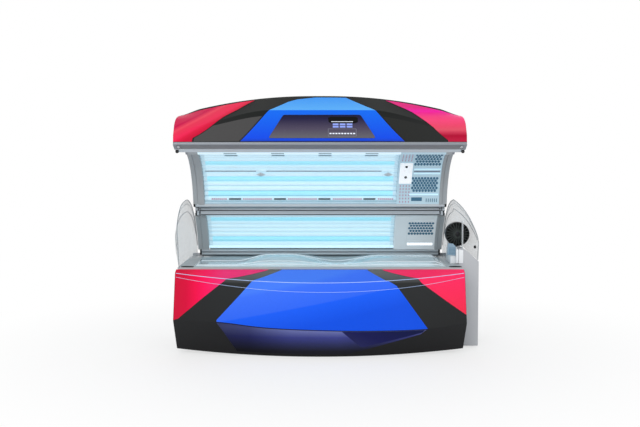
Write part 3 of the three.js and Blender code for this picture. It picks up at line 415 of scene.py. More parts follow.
# Violet accent lens of the base. Its colour is a painted pool of accent light, dark at the foot and
# brightest lavender near the top middle. A painted fall-off darkens it strongly towards the left end and a
# little towards the right.
LENS_GLOW = colour_lacquer("violet_lens_painted_glow", (80, 84, 145), "violet_gloss", upright(
    0.05, 0.232, (0.0, (30, 30, 40)), (0.3, (48, 52, 96)), (0.62, (66, 71, 142)), (1.0, (124, 132, 188)),
), painted_falloff=endwise(
    -0.86, 0.3,
    (0.0, (120, 120, 130)), (0.22, (140, 140, 160)), (0.5, (236, 236, 240)), (0.8, (255, 255, 255)),
    (1.0, (225, 225, 230)),
))
INDIGO = Finish(
    "indigo_lens", (26, 26, 84), "violet_gloss", 0.34, grain=Grain.LACQUER, spec=FLAT,
    fade=Fade((0.35, 0.0, 1.0), 0.13, 0.42, (
        (0.0, (44, 46, 92)), (0.5, (22, 24, 84)), (1.0, (10, 20, 70)),
    )),
)
# Pale lines across the base front: painted highlights, the upper one along the bevel's crease.
CREASE_HIGHLIGHT = Finish("painted_crease_highlight", (186, 210, 255), "white_plastic", 0.3, grain=Grain.LACQUER)
FRAME = Finish("frame_silver", (160, 165, 168), "silver_plastic", 0.46, 0.1, spec=0.3)
SILVER = Finish("silver_moulding", (168, 173, 176), "silver_plastic", 0.46, 0.1, spec=0.3)
DECK = Finish("deck_silver", (170, 176, 179), "silver_plastic", 0.46, 0.1, spec=0.3)
RAIL = Finish("brushed_rail", (138, 143, 150), "aluminium", 0.4, 0.35, grain=Grain.BRUSHED, bump=0.12)
# Pale aluminium strip under the front rail, brightened by a painted glow.
RAIL_LIP_GLOW = Finish("rail_lip", (178, 186, 192), "aluminium", 0.42, 0.1, grain=Grain.BRUSHED, glow=0.12)
PROFILE = Finish(
    "brushed_profile", (188, 196, 202), "aluminium", 0.42, 0.15, grain=Grain.BRUSHED, bump=0.12
)
RAIL_DARK = Finish(
    "brushed_channel", (118, 121, 125), "aluminium", 0.45, 0.1, grain=Grain.BRUSHED, bump=0.12
)
# Dark lines of painted shade in the profiles' grooves and in the gap under the hinge tube.
GROOVE_SHADE = Finish("profile_groove_shade", (76, 82, 87), "aluminium", 0.5, 0.1, grain=Grain.BRUSHED, spec=0.2)
PANE = Finish(
    "tunnel_acrylic", (206, 238, 252), "clear_acrylic", 0.1, alpha=0.1, grain=Grain.CAST, bump=0.005
)
BENCH = Finish(
    "bench_acrylic", (228, 242, 247), "clear_acrylic", 0.07, alpha=0.5, grain=Grain.CAST, bump=0.3
)
BENCH_LINE = Finish("bench_highlight", (238, 246, 250), "clear_acrylic", 0.1, alpha=0.9, grain=Grain.CAST)
SHIELD = Finish(
    "shield_acrylic", (190, 195, 198), "clear_acrylic", 0.08, alpha=0.3, grain=Grain.CAST, bump=0.02
)
SHIELD_EDGE = Finish("acrylic_edge", (166, 171, 174), "clear_acrylic", 0.2, alpha=0.8, grain=Grain.CAST)
# Near-white lines of painted highlight on the clear shields.
SHIELD_GLINT = Finish("acrylic_glint", (244, 246, 247), "clear_acrylic", 0.2, alpha=0.7, grain=Grain.CAST)
LAMP = Finish("lamp_phosphor", (200, 222, 230), "lamp_glass", glow=0.45, grain=Grain.CAST, mottle=0.03)
LAMP_CYAN = Finish(
    "lamp_phosphor_cyan", (150, 216, 230), "lamp_glass", glow=0.46, grain=Grain.CAST, mottle=0.03
)
LIP_GREY = Finish("lip_grey", (172, 196, 208), "lamp_glass", glow=0.28, grain=Grain.CAST)
LIP_BRIGHT = Finish("lip_bright", (212, 236, 245), "lamp_glass", glow=0.6, grain=Grain.CAST)
# Lamp end caps, with a painted glow that brightens them.
LAMP_CAP_GLOW = Finish("lamp_cap_painted_glow", (188, 212, 222), "lamp_glass", glow=0.4, grain=Grain.BRUSHED)
# Reflector sheet with a painted glow standing for the lamp light that it reflects.
REFLECTOR_GLOW = Finish("reflector_painted_glow", (136, 182, 198), "bright_sheet", 0.3, glow=0.3, grain=Grain.BRUSHED)
# Blue-grey panel plastic, with a painted glow that lifts the face panel and rail head cover out of the
# tunnel's shade.
SLATE_GLOW = Finish("slate_panel_painted_glow", (176, 202, 214), "slate_plastic", 0.42, glow=0.16)
# Speaker panel plastic, with a painted glow that lifts it out of the shade under the canopy.
SPEAKER_GLOW = Finish("speaker_panel", (196, 203, 207), "slate_plastic", 0.45, glow=0.26)
GRILLE = Finish("grille_opening", (70, 114, 140), "slate_plastic", 0.5, spec=0.2)
POD = Finish("pod_blue", (132, 158, 178), "slate_plastic")
WHITE = Finish("white_moulding", (236, 238, 241), "white_plastic", 0.38)
# White nozzle cover, with a painted glow that lifts it out of the tunnel's shade.
COVER_GLOW = Finish("white_cover_painted_glow", (236, 240, 243), "white_plastic", 0.38, glow=0.3)
LIT = Finish("lit_strip", (196, 230, 244), "white_plastic", 0.3, glow=0.34)
LIGHTS = Finish("speaker_light", (248, 251, 254), "white_plastic", 0.3, glow=0.7)
PINK = Finish("pink_diode", (166, 92, 124), "lamp_glass", 0.35, glow=0.15)
SLOT = Finish("slot_shadow", (34, 40, 46), "black_plastic", 0.6, spec=0.2)
DASH = Finish("dash_grey", (104, 108, 128), "black_plastic", 0.6, spec=0.2)
VENT = Finish("vent_grey", (140, 162, 174), "silver_plastic", 0.5, spec=0.2)
BLACK = Finish("black_moulding", (24, 25, 27), "black_plastic", 0.45, spec=0.25)
# Ribs of the black fan, drawn lighter than its drum as a painted highlight so that they show.
FAN_RIB_SHEEN = Finish("fan_rib_sheen", (56, 62, 60), "black_plastic", 0.5, spec=0.2)
RUBBER = Finish("buffer_rubber", (30, 30, 32), "black_rubber", 0.8, grain=Grain.RUBBER, bump=0.2)
UNIT = Finish("unit_grey", (184, 186, 190), "light_grey", 0.45)
STEEL = Finish("painted_sheet", (146, 152, 158), "sheet_steel", 0.45, 0.4)
ALLOY = Finish("frame_alloy", (146, 152, 158), "canopy_alloy", 0.42, 0.7, grain=Grain.BRUSHED)
CHROME = Finish("polished_rod", (204, 207, 212), "polished_steel", 0.12, 1.0, grain=Grain.BRUSHED)
ENAMEL = Finish("tube_enamel", (26, 26, 28), "black_enamel", 0.25, 0.2, coat=0.4, grain=Grain.LACQUER)
DISPLAY = Finish(
    "display_face", (40, 42, 70), "display_glass", 0.26, grain=Grain.LACQUER, mottle=0.02, spec=FLAT,
    fade=upright(
        1.67, 1.86, (0.0, (100, 99, 106)), (0.4, (76, 68, 90)), (0.8, (26, 20, 62)), (1.0, (0, 4, 44)),
    ),
)
SCREEN = Finish("screen_black", (5, 5, 6), "display_glass", 0.2, grain=Grain.LACQUER, spec=0.1)
ICON = Finish("icon_blue", (130, 148, 220), "display_glass", glow=0.3)
MARK = Finish("icon_white", (216, 222, 236), "display_glass", glow=0.4)
FRAME_LINE = Finish("display_line", (124, 124, 138), "display_glass")


class Workshop:
    """Makes meshes into finished pieces of the bed. Sizes are in mm."""

    @staticmethod
    def sheet(front: Grid, back: Grid) -> Shape:
        """Closed sheet between two grids.

        Args:
            front: rows of points on one face.
            back: the same rows on the other face.
        Returns:
            Vertices and faces.
        """
        rows, cols = len(front), len(front[0])
        half = rows * cols
        points = [p for row in front for p in row] + [p for row in back for p in row]
        faces: list[list[int]] = []
        for r in range(rows - 1):
            for c in range(cols - 1):
                a = r * cols + c
                faces.append([a, a + 1, a + cols + 1, a + cols])
                faces.append([half + a, half + a + cols, half + a + cols + 1, half + a + 1])
        rim = list(range(cols - 1)) + [r * cols + cols - 1 for r in range(rows - 1)]
        rim += [(rows - 1) * cols + c for c in range(cols - 1, 0, -1)]
        rim += [r * cols for r in range(rows - 1, 0, -1)]
        for a, b in zip(rim, rim[1:] + rim[:1]):
            faces.append([b, a, half + a, half + b])
        return points, faces

    @staticmethod
    def loft(rings: Grid) -> Shape:
        """Skin over rings of points, closed at both ends.

        Args:
            rings: rings that have the same number of points.
        Returns:
            Vertices and faces.
        """
        n, last = len(rings[0]), len(rings) - 1
        faces = [
            [r * n + c, r * n + (c + 1) % n, (r + 1) * n + (c + 1) % n, (r + 1) * n + c]
            for r in range(last) for c in range(n)
        ]
        faces += [list(range(n)), list(range(last * n, last * n + n))]
        return [p for ring in rings for p in ring], faces

    @staticmethod
    def prism(outline: Sequence[Vector], length: float) -> Shape:
        """Outline in metres swept along the bed by a length."""
        return Workshop.loft([outline, [p + LONG * (length * MM) for p in outline]])

    @staticmethod
    def along_bed(x0: float, x1: float, section: Edge) -> Shape:
        """Section of (y, z) corners swept along the bed from x0 to x1."""
        return Workshop.loft([[place(x, y, z) for y, z in section] for x in (x0, x1)])

    @staticmethod
    def across_bed(y0: float, y1: float, section: Edge) -> Shape:
        """Section of (x, z) corners swept across the bed from y0 to y1."""
        return Workshop.loft([[place(x, y, z) for x, z in section] for y in (y0, y1)])

    @staticmethod
    def along_canopy(x0: float, x1: float, section: Edge) -> Shape:
        """Section of level (u, w) corners swept along the canopy from x0 to x1."""
        return Workshop.loft([[place_level(x, u, w) for u, w in section] for x in (x0, x1)])

    @staticmethod
    def tube(path: Sequence[Vector], radius: float, sides: int = 8) -> Shape:
        """Round bead along a path, closed at both ends.

        Args:
            path: points that the bead follows, in metres.
            radius: its radius.
            sides: sides of its section.
        Returns:
            Vertices and faces.
        """
        rings: list[list[Vector]] = []
        for i, p in enumerate(path):
            ahead = (path[min(i + 1, len(path) - 1)] - path[max(i - 1, 0)]).normalized()
            side = ahead.cross(UP if abs(ahead.z) < 0.9 else INTO).normalized()
            up = side.cross(ahead)
            turns = [2 * math.pi * k / sides for k in range(sides)]
            rings.append([p + (side * math.cos(a) + up * math.sin(a)) * (radius * MM) for a in turns])
        return Workshop.loft(rings)

    @staticmethod
    def lathe(profile: Edge, centre: Vector, axis: Vector, sides: int = 32, stretch: float = 1.0) -> Shape:
        """Profile turned about an axis.

        Args:
            profile: (radius, height) from one end on the axis to the other.
            centre: the axis' foot, in metres.
            axis: its direction.
            sides: steps round the turn.
            stretch: widening along the bed.
        Returns:
            Vertices and faces.
        """
        turn = UP.rotation_difference(axis.normalized()).to_matrix()
        angles = [2 * math.pi * k / sides for k in range(sides)]
        return Workshop.loft([
            [
                centre + turn @ Vector((r * math.cos(a) * stretch, r * math.sin(a), h)) * MM
                for a in angles
            ]
            for r, h in profile
        ])

    @staticmethod
    def piece(
        name: str,
        shape: Shape,
        finish: Finish,
        body: Body = Body.BASE,
        replaces: Sequence[str] = (),
        bevel: float = 0.0,
    ) -> bpy.types.Object:
        """Makes one finished piece.

        Args:
            name: the piece's name.
            shape: vertices and faces.
            finish: its surface.
            body: what it rides on.
            replaces: CAD nodes that it stands for.
            bevel: rounding of its sharp edges.
        Returns:
            The piece.
        """
        mesh = bpy.data.meshes.new(name)
        mesh.from_pydata([tuple(p) for p in shape[0]], [], shape[1])
        work = bmesh.new()
        work.from_mesh(mesh)
        bmesh.ops.remove_doubles(work, verts=work.verts, dist=MERGE)
        bmesh.ops.dissolve_degenerate(work, edges=work.edges, dist=MERGE)
        bmesh.ops.recalc_face_normals(work, faces=work.faces)
        if bevel:
            sharp = [
                e for e in work.edges if len(e.link_faces) == 2 and e.calc_face_angle(0) > BEVEL_ANGLE
            ]
            bmesh.ops.bevel(
                work, geom=sharp, offset=bevel * MM, segments=3, profile=0.5, affect="EDGES",
                clamp_overlap=True,
            )
        work.to_mesh(mesh)
        work.free()
        made = bpy.data.objects.new(name, mesh)
        bpy.context.scene.collection.objects.link(made)
        return Workshop.dress(made, finish, body, replaces)

    @staticmethod
    def dress(
        piece: bpy.types.Object, finish: Finish, body: Body, replaces: Sequence[str] = ()
    ) -> bpy.types.Object:
        """Shades, paints and mounts a piece.

        Args:
            piece: the new object.
            finish: its surface.
            body: what it rides on.
            replaces: CAD nodes that it stands for.
        Returns:
            The piece.
        """
        mesh = piece.data
        mesh.polygons.foreach_set("use_smooth", [True] * len(mesh.polygons))
        mesh.set_sharp_from_angle(angle=SHARP_ANGLE)
        mesh.materials.clear()
        mesh.materials.append(finish.material())
        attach(piece, body.value)
        if replaces:
            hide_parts(*replaces)
        LOG.info("%s: %d faces", piece.name, len(mesh.polygons))
        return piece


class Stamp(Enum):
    """Shapes that the repeating tree can set on its points."""

    PRISM = "prism"
    BLOCK = "block"


@dataclass
class Spot:
    """One place of a repeated shape: where it is, where it faces and where its X axis runs."""

    at: Vector
    facing: Vector
    run: Vector = field(default_factory=LONG.copy)


@dataclass
class Repeater:
    """Sets one small shape on many spots with Geometry Nodes. Sizes are in mm."""

    stamp: Stamp
    size: Size
    sides: int = 6

    def tree(self) -> bpy.types.NodeTree:
        """Builds the node tree for this stamp, or returns the one already made.

        Returns:
            The tree.
        """
        name = f"repeat_{self.stamp.value}"
        if name in bpy.data.node_groups:
            return bpy.data.node_groups[name]
        group = bpy.data.node_groups.new(name, "GeometryNodeTree")
        for title, way, kind in (
            ("Geometry", "INPUT", "Geometry"), ("Size", "INPUT", "Vector"), ("Sides", "INPUT", "Int"),
            ("Finish", "INPUT", "Material"), ("Geometry", "OUTPUT", "Geometry"),
        ):
            group.interface.new_socket(title, in_out=way, socket_type=f"NodeSocket{kind}")
        new = group.nodes.new
        given = new("NodeGroupInput").outputs
        shape, scale = self._shape(group, given)
        stand = fill(new("GeometryNodeInstanceOnPoints"), {
            "Points": given["Geometry"], "Instance": shape, "Rotation": self._turn(group), "Scale": scale,
        })
        real = fill(new("GeometryNodeRealizeInstances"), {"Geometry": stand.outputs["Instances"]})
        paint = fill(new("GeometryNodeSetMaterial"), {
            "Geometry": real.outputs["Geometry"], "Material": given["Finish"],
        })
        fill(new("NodeGroupOutput"), {"Geometry": paint.outputs["Geometry"]})
        return group

    def _shape(self, group: bpy.types.NodeTree, given: bpy.types.NodeOutputs) -> tuple[object, object]:
        """Adds the stamp: a block, or a prism with its half width and height in X and Y.

        Args:
            group: the tree.
            given: its inputs.
        Returns:
            The mesh and its scale.
        """
        new = group.nodes.new
        if self.stamp is Stamp.BLOCK:
            block = fill(new("GeometryNodeMeshCube"), {"Size": given["Size"]})
            return block.outputs["Mesh"], (1.0, 1.0, 1.0)
        split = fill(new("ShaderNodeSeparateXYZ"), {0: given["Size"]}).outputs
        prism = fill(new("GeometryNodeMeshCylinder"), {
            "Radius": split["X"], "Depth": split["Z"], "Vertices": given["Sides"],
        })
        ratio = new("ShaderNodeMath")
        ratio.operation = "DIVIDE"
        fill(ratio, {0: split["Y"], 1: split["X"]})
        scale = fill(new("ShaderNodeCombineXYZ"), {"X": 1.0, "Y": ratio.outputs[0], "Z": 1.0})
        return prism.outputs["Mesh"], scale.outputs[0]

    @staticmethod
    def _turn(group: bpy.types.NodeTree) -> bpy.types.NodeSocket:
        """Adds the turn that points Z along each spot's facing and X along its run.

        Args:
            group: the tree.
        Returns:
            The rotation.
        """
        new = group.nodes.new
        before: dict[str | int, object] = {}
        for title, axis, pivot in (("facing", "Z", "AUTO"), ("run", "X", "Z")):
            read = new("GeometryNodeInputNamedAttribute")
            read.data_type = "FLOAT_VECTOR"
            fill(read, {"Name": title})
            turn = new("FunctionNodeAlignRotationToVector")
            turn.axis, turn.pivot_axis = axis, pivot
            fill(turn, {"Vector": read.outputs["Attribute"], **before})
            before = {"Rotation": turn.outputs["Rotation"]}
        return turn.outputs["Rotation"]

    def build(
        self, name: str, spots: Sequence[Spot], finish: Finish, body: Body = Body.BASE,
        replaces: Sequence[str] = (),
    ) -> bpy.types.Object:
        """Sets the shape on every spot and turns the result into one plain piece.

        Args:
            name: the piece's name.
            spots: places, directions out of the surface and directions along it.
            finish: its surface.
            body: what it rides on.
            replaces: CAD nodes that it stands for.
        Returns:
            The piece.
        """
        points = bpy.data.meshes.new(f"{name}_spots")
        points.from_pydata([tuple(s.at) for s in spots], [], [])
        for title in ("facing", "run"):
            store = points.attributes.new(title, "FLOAT_VECTOR", "POINT")
            store.data.foreach_set("vector", [c for s in spots for c in getattr(s, title)])
        piece = bpy.data.objects.new(name, points)
        bpy.context.scene.collection.objects.link(piece)
        group = self.tree()
        work = piece.modifiers.new("repeat", "NODES")
        work.node_group = group
        values = {
            "Size": [s * MM for s in self.size], "Sides": self.sides, "Finish": finish.material(),
        }
        for socket in group.interface.items_tree:
            if socket.in_out == "INPUT" and socket.name in values:
                work[socket.identifier] = values[socket.name]
        graph = bpy.context.evaluated_depsgraph_get()
        plain = bpy.data.meshes.new_from_object(piece.evaluated_get(graph))
        piece.modifiers.remove(work)
        piece.data = plain
        plain.name = name
        for title in ("facing", "run"):
            if title in plain.attributes:
                plain.attributes.remove(plain.attributes[title])
        return Workshop.dress(piece, finish, body, replaces)


@dataclass
class Arc:
    """Concave tunnel surface of the canopy, in its level drawing, or of the side tanner."""

    centre: tuple[float, float]
    radius: float
    start: float
    stop: float
    canopy: bool

    def point(self, x: float, r: float, deg: float) -> Vector:
        """Point of the bed at x, distance r from the arc's centre and angle deg."""
        a = math.radians(deg)
        depth, height = self.centre
        if self.canopy:
            return place_level(x, depth - r * math.sin(a), height + r * math.cos(a))
        return place(x, depth + r * math.cos(a), height + r * math.sin(a))

    def inward(self, deg: float) -> Vector:
        """Unit vector from the surface towards the arc's centre."""
        return (self.point(0, 0, deg) - self.point(0, 100, deg)).normalized()

    def sweep(self, face: Edge, back: Edge, turn: Span, steps: int = 40) -> Shape:
        """Section swept along the arc.

        Args:
            face: (x, r) points of the inner face.
            back: as many (x, r) points behind it.
            turn: first and last angle.
            steps: steps along the arc.
        Returns:
            Vertices and faces.
        """
        angles = spread(*turn, steps)
        return Workshop.sheet(*(
            [[self.point(x, r, a) for x, r in side] for a in angles] for side in (face, back)
        ))

    def strip(self, ends: Span, cols: int, radii: Span, turn: Span, steps: int = 40) -> Shape:
        """Plain strip of the arc.

        Args:
            ends: its left and right end.
            cols: columns along the bed.
            radii: distances of its face and its back from the arc's centre.
            turn: first and last angle.
            steps: steps along the arc.
        Returns:
            Vertices and faces.
        """
        xs = spread(*ends, cols)
        return self.sweep(*([(x, r) for x in xs] for r in radii), turn, steps)

    def spot(self, x: float, deg: float, out: float = 0.0) -> Spot:
        """Spot on the surface, out mm into the tunnel."""
        return Spot(self.point(x, self.radius - out, deg), self.inward(deg))

    def hexes(self, ends: Span, turn: Span, cols: int, rows: int, out: float) -> list[Spot]:
        """Staggered spots over a patch of the surface.

        Args:
            ends: the patch's left and right end.
            turn: its first and last angle.
            cols: spots in its full rows.
            rows: its rows.
            out: how far the spots stand into the tunnel.
        Returns:
            The spots.
        """
        spots = []
        for r in range(rows):
            for c in range(cols - r % 2):
                x = lerp(*ends, (c + 0.5 * (r % 2)) / (cols - 1))
                spots.append(self.spot(x, lerp(*turn, r / (rows - 1)), out))
        return spots


CANOPY_ARC = Arc((394.5, -485), 545, -33, 33, True)
SIDE_ARC = Arc((226, 564), 580, 18, 54, False)


@dataclass
class Skin:
    """Creased front surface given by rows across the bed, t from -1 to 1 and v down its rows.

    The end curve of (v, half width, forward, up) draws the surface's corners out. The drawing out
    starts at the flare's shares of the half width, the second of them above the flare's rows.
    """

    rows: Sequence[Row]
    to_bed: Callable[[float, float, float], Vector]
    out: Size
    end: Sequence[Sequence[float]] = ()
    soft: float = 0.03
    flare: Span = (0.74, 0.88)
    flare_rows: Span = (1.4, 2.0)

    def raw(self, t: float, v: float) -> Vector:
        """Drawing's point on the unrounded rows, drawn out to the end curve at the corners.

        Args:
            t: place across the bed.
            v: place down the rows.
        Returns:
            The point in mm.
        """
        i = min(int(v), len(self.rows) - 2)
        a, b = self.rows[i](t), self.rows[i + 1](t)
        flat = [lerp(p, q, v - i) for p, q in zip(a, b)]
        start = lerp(*self.flare, smoothstep(v, *self.flare_rows))
        share = max(0.0, (abs(t) - start) / (1 - start)) ** 2 if self.end else 0.0
        if share:
            half, *rest = (along([(k[0], k[j]) for k in self.end], v) for j in (1, 2, 3))
            flat = [lerp(p, q, share) for p, q in zip(flat, (half * t, *rest))]
        return Vector(flat)

    def point(self, t: float, v: float, out: float = 0.0) -> Vector:
        """Point of the bed on the surface.

        Args:
            t: place across the bed.
            v: place down the rows.
            out: distance off the surface in mm.
        Returns:
            The point in metres.
        """
        fold = round(v)
        p = self.raw(t, v)
        if 0 < fold < len(self.rows) - 1 and abs(v - fold) < self.soft:
            s = (v - fold + self.soft) / (2 * self.soft)
            a, c, b = (self.raw(t, fold + k * self.soft) for k in (-1, 0, 1))
            p = a * (1 - s) ** 2 + c * (2 * s * (1 - s)) + b * s ** 2
        return self.to_bed(*(p + Vector(self.out) * out))

    def zone(self, left: Edge, right: Edge, rows: Span, off: Span, cols: int = 40, fine: int = 14) -> Shape:
        """Closed panel on the surface between two broken lines.

        Args:
            left: its left edge as (v, t).
            right: its right edge as (v, t).
            rows: its first and last row.
            off: its back and front face, mm off the surface.
            cols: columns across.
            fine: half the number of even rows.
        Returns:
            Vertices and faces.
        """
        v0, v1 = rows
        stops = {*rows, *(v for v, _ in left), *(v for v, _ in right), *spread(v0, v1, fine * 2)}
        for fold in range(1, len(self.rows) - 1):
            stops |= {fold + self.soft * k / 4 for k in range(-4, 5)}
        order: list[float] = []
        for v in sorted(s for s in stops if v0 <= s <= v1):
            if not order or v - order[-1] > 1e-4:
                order.append(v)
        near, far = off
        return Workshop.sheet(*(
            [[self.point(t, v, d) for t in spread(along(left, v), along(right, v), cols)] for v in order]
            for d in (far, near)
        ))

    def spot(self, t: float, v: float, out: float) -> Spot:
        """Spot on the surface facing out of it.

        Args:
            t: place across the bed.
            v: place down the rows.
            out: distance off the surface in mm.
        Returns:
            The spot.
        """
        d = 1e-3
        side = self.point(t + d, v) - self.point(t - d, v)
        down = self.point(t, v + d) - self.point(t, v - d)
        facing = side.cross(down).normalized()
        facing = facing if facing.dot(FRONT + UP) > 0 else -facing
        return Spot(self.point(t, v, out), facing, side.normalized())


BELT = spline([[-1, 262], [-0.69, 270], [-0.35, 238], [0.06, 222], [0.36, 214], [0.72, 213], [1, 238]], 40)
BELT_T = [p[0] for p in BELT]


def bowed(half: float, y: float, z: float, bow: float = 0.0, dip: float = 0.0) -> Row:
    """Row of a front that bows forward and dips towards its middle.

    Args:
        half: half its width.
        y: depth of its ends.
        z: height of its ends.
        bow: how far its middle stands forward.
        dip: how far its middle lies lower.
    Returns:
        The row's point at each t.
    """
    def row(t: float) -> Size:
        """Point of the row at t."""
        share = 1 - t * t
        return (half * t, y - bow * share, z - dip * share)

    return row


def belt(t: float) -> Size:
    """Base front's lower crease.

    Args:
        t: place across the bed.
    Returns:
        The crease's point.
    """
    i = min(max(bisect_right(BELT_T, t) - 1, 0), len(BELT) - 2)
    (t0, z0), (t1, z1) = BELT[i], BELT[i + 1]
    height = lerp(z0, z1, min(max((t - t0) / max(t1 - t0, 1e-9), 0.0), 1.0))
    return (1139 * t, -210 * (1 - t * t), height)


def crease(t: float) -> Size:
    """Canopy front's crease."""
    k = smoothstep(abs(t), 0.34, 1.02)
    return (lerp(1118, 1119, k) * t, lerp(828, 781, k), lerp(305, 140, k))


def brow(t: float) -> Size:
    """Canopy front's upper edge, held up towards its corners."""
    lift = t * t / (abs(t) + 0.12)
    return (1085 * t, lerp(773, 700, t * t) + 22 * lift, lerp(532, 375, t * t) + 18 * lift)


BASE_SKIN = Skin(
    (bowed(1116, 30, 655.7), bowed(1121, 5, 632, 170, 54), belt, bowed(1117, 40, 40, 160, 32)),
    place,
    (0.0, -0.8, 0.6),
)
CANOPY_SKIN = Skin(
    (bowed(1125, 793, -16.7), crease, brow),
    place_level,
    (0.0, 1.0, 0.0),
    spline([
        [0, 1125, 793, -16.7], [0.5, 1128, 811, 40.3], [1, 1129, 816.7, 104], [1.3, 1130, 817.4, 158.4],
        [1.6, 1128, 802.6, 228], [1.8, 1121, 775, 286], [2, 1108, 731, 348],
    ], 6),
)
ENDS: tuple[Edge, Edge] = (((0.0, -1.0),), ((0.0, 1.0),))


@dataclass
class BaseFront:
    """Bowed front of the base: dark cladding with colour panels, lens and two pale lines of painted
    highlight.
    """

    thick: float = 10
    off: Span = (0.45, 2.6)
    indigo_off: Span = (2.8, 3.6)
    end_left: Edge = ((0.0, -0.998),)
    end_right: Edge = ((0.0, 0.998),)
    blue_left: Edge = ((0.0, -0.262), (0.105, -0.277), (1.028, -0.464), (1.96, -0.694))
    blue_right: Edge = ((0.0, 0.325), (0.11, 0.333), (0.973, 0.444), (1.115, 0.518), (1.99, 0.722))
    red_left: Edge = (
        (0.0, -0.35), (0.11, -0.377), (1.055, -0.651), (1.71, -0.874), (1.96, -0.965), (1.99, -0.995),
    )
    red_right: Edge = ((0.0, 0.43), (0.118, 0.446), (1.093, 0.691), (1.82, 0.995))
    lens_left: Edge = ((2.03, -0.695), (2.33, -0.649), (2.93, -0.57))
    lens_right: Edge = ((2.03, 0.715), (2.2, 0.68), (2.93, 0.2))
    indigo_left: Edge = ((2.04, 0.145), (2.66, 0.275))
    indigo_right: Edge = ((2.04, 0.705), (2.14, 0.69), (2.66, 0.3))
    line_reach: float = 0.992
    line_radii: Span = (2.2, 1.3)

    def build(self) -> None:
        """Builds the cladding and everything on it."""
        skin, piece = BASE_SKIN, Workshop.piece
        cladding = skin.zone(*ENDS, (0, 3), (-self.thick, 0), 120)
        piece("base_cladding", cladding, DARK_LIT_TOP, replaces=["base_front_cladding"])
        blue, lens = (self.blue_left, self.blue_right), (self.lens_left, self.lens_right)
        left, right = (self.end_left, self.red_left), (self.red_right, self.end_right)
        for name, edges, rows, cols, finish, node in (
            ("blue_panel", blue, (0.02, 2.0), 90, BLUE_LIT_TOP, "decor_blue"),
            ("red_panel_left", left, (0.02, 1.99), 40, RED, "decor_red_left"),
            ("red_panel_right", right, (0.02, 1.82), 40, RED_RIGHT, "decor_red_right"),
            ("lens", lens, (2.03, 2.93), 80, LENS_GLOW, "accent_lens"),
        ):
            shape = skin.zone(*edges, rows, self.off, cols)
            piece(f"base_{name}", shape, finish, replaces=[f"base_{node}"])
        indigo = skin.zone(self.indigo_left, self.indigo_right, (2.04, 2.66), self.indigo_off)
        piece("base_lens_indigo", indigo, INDIGO)
        # Two thin pale tubes of painted highlight: the upper one on the bevel's crease, the lower a fainter
        # one below it.
        ts = spread(-self.line_reach, self.line_reach, 120)
        upper = [skin.point(t, 1.0, 3.0) for t in ts]
        lower = [skin.point(t, 1.203 - 0.118 * t * t, 2.6) for t in ts]
        for name, path, radius in zip(("upper", "lower"), (upper, lower), self.line_radii):
            piece(f"base_highlight_line_{name}", Workshop.tube(path, radius), CREASE_HIGHLIGHT)


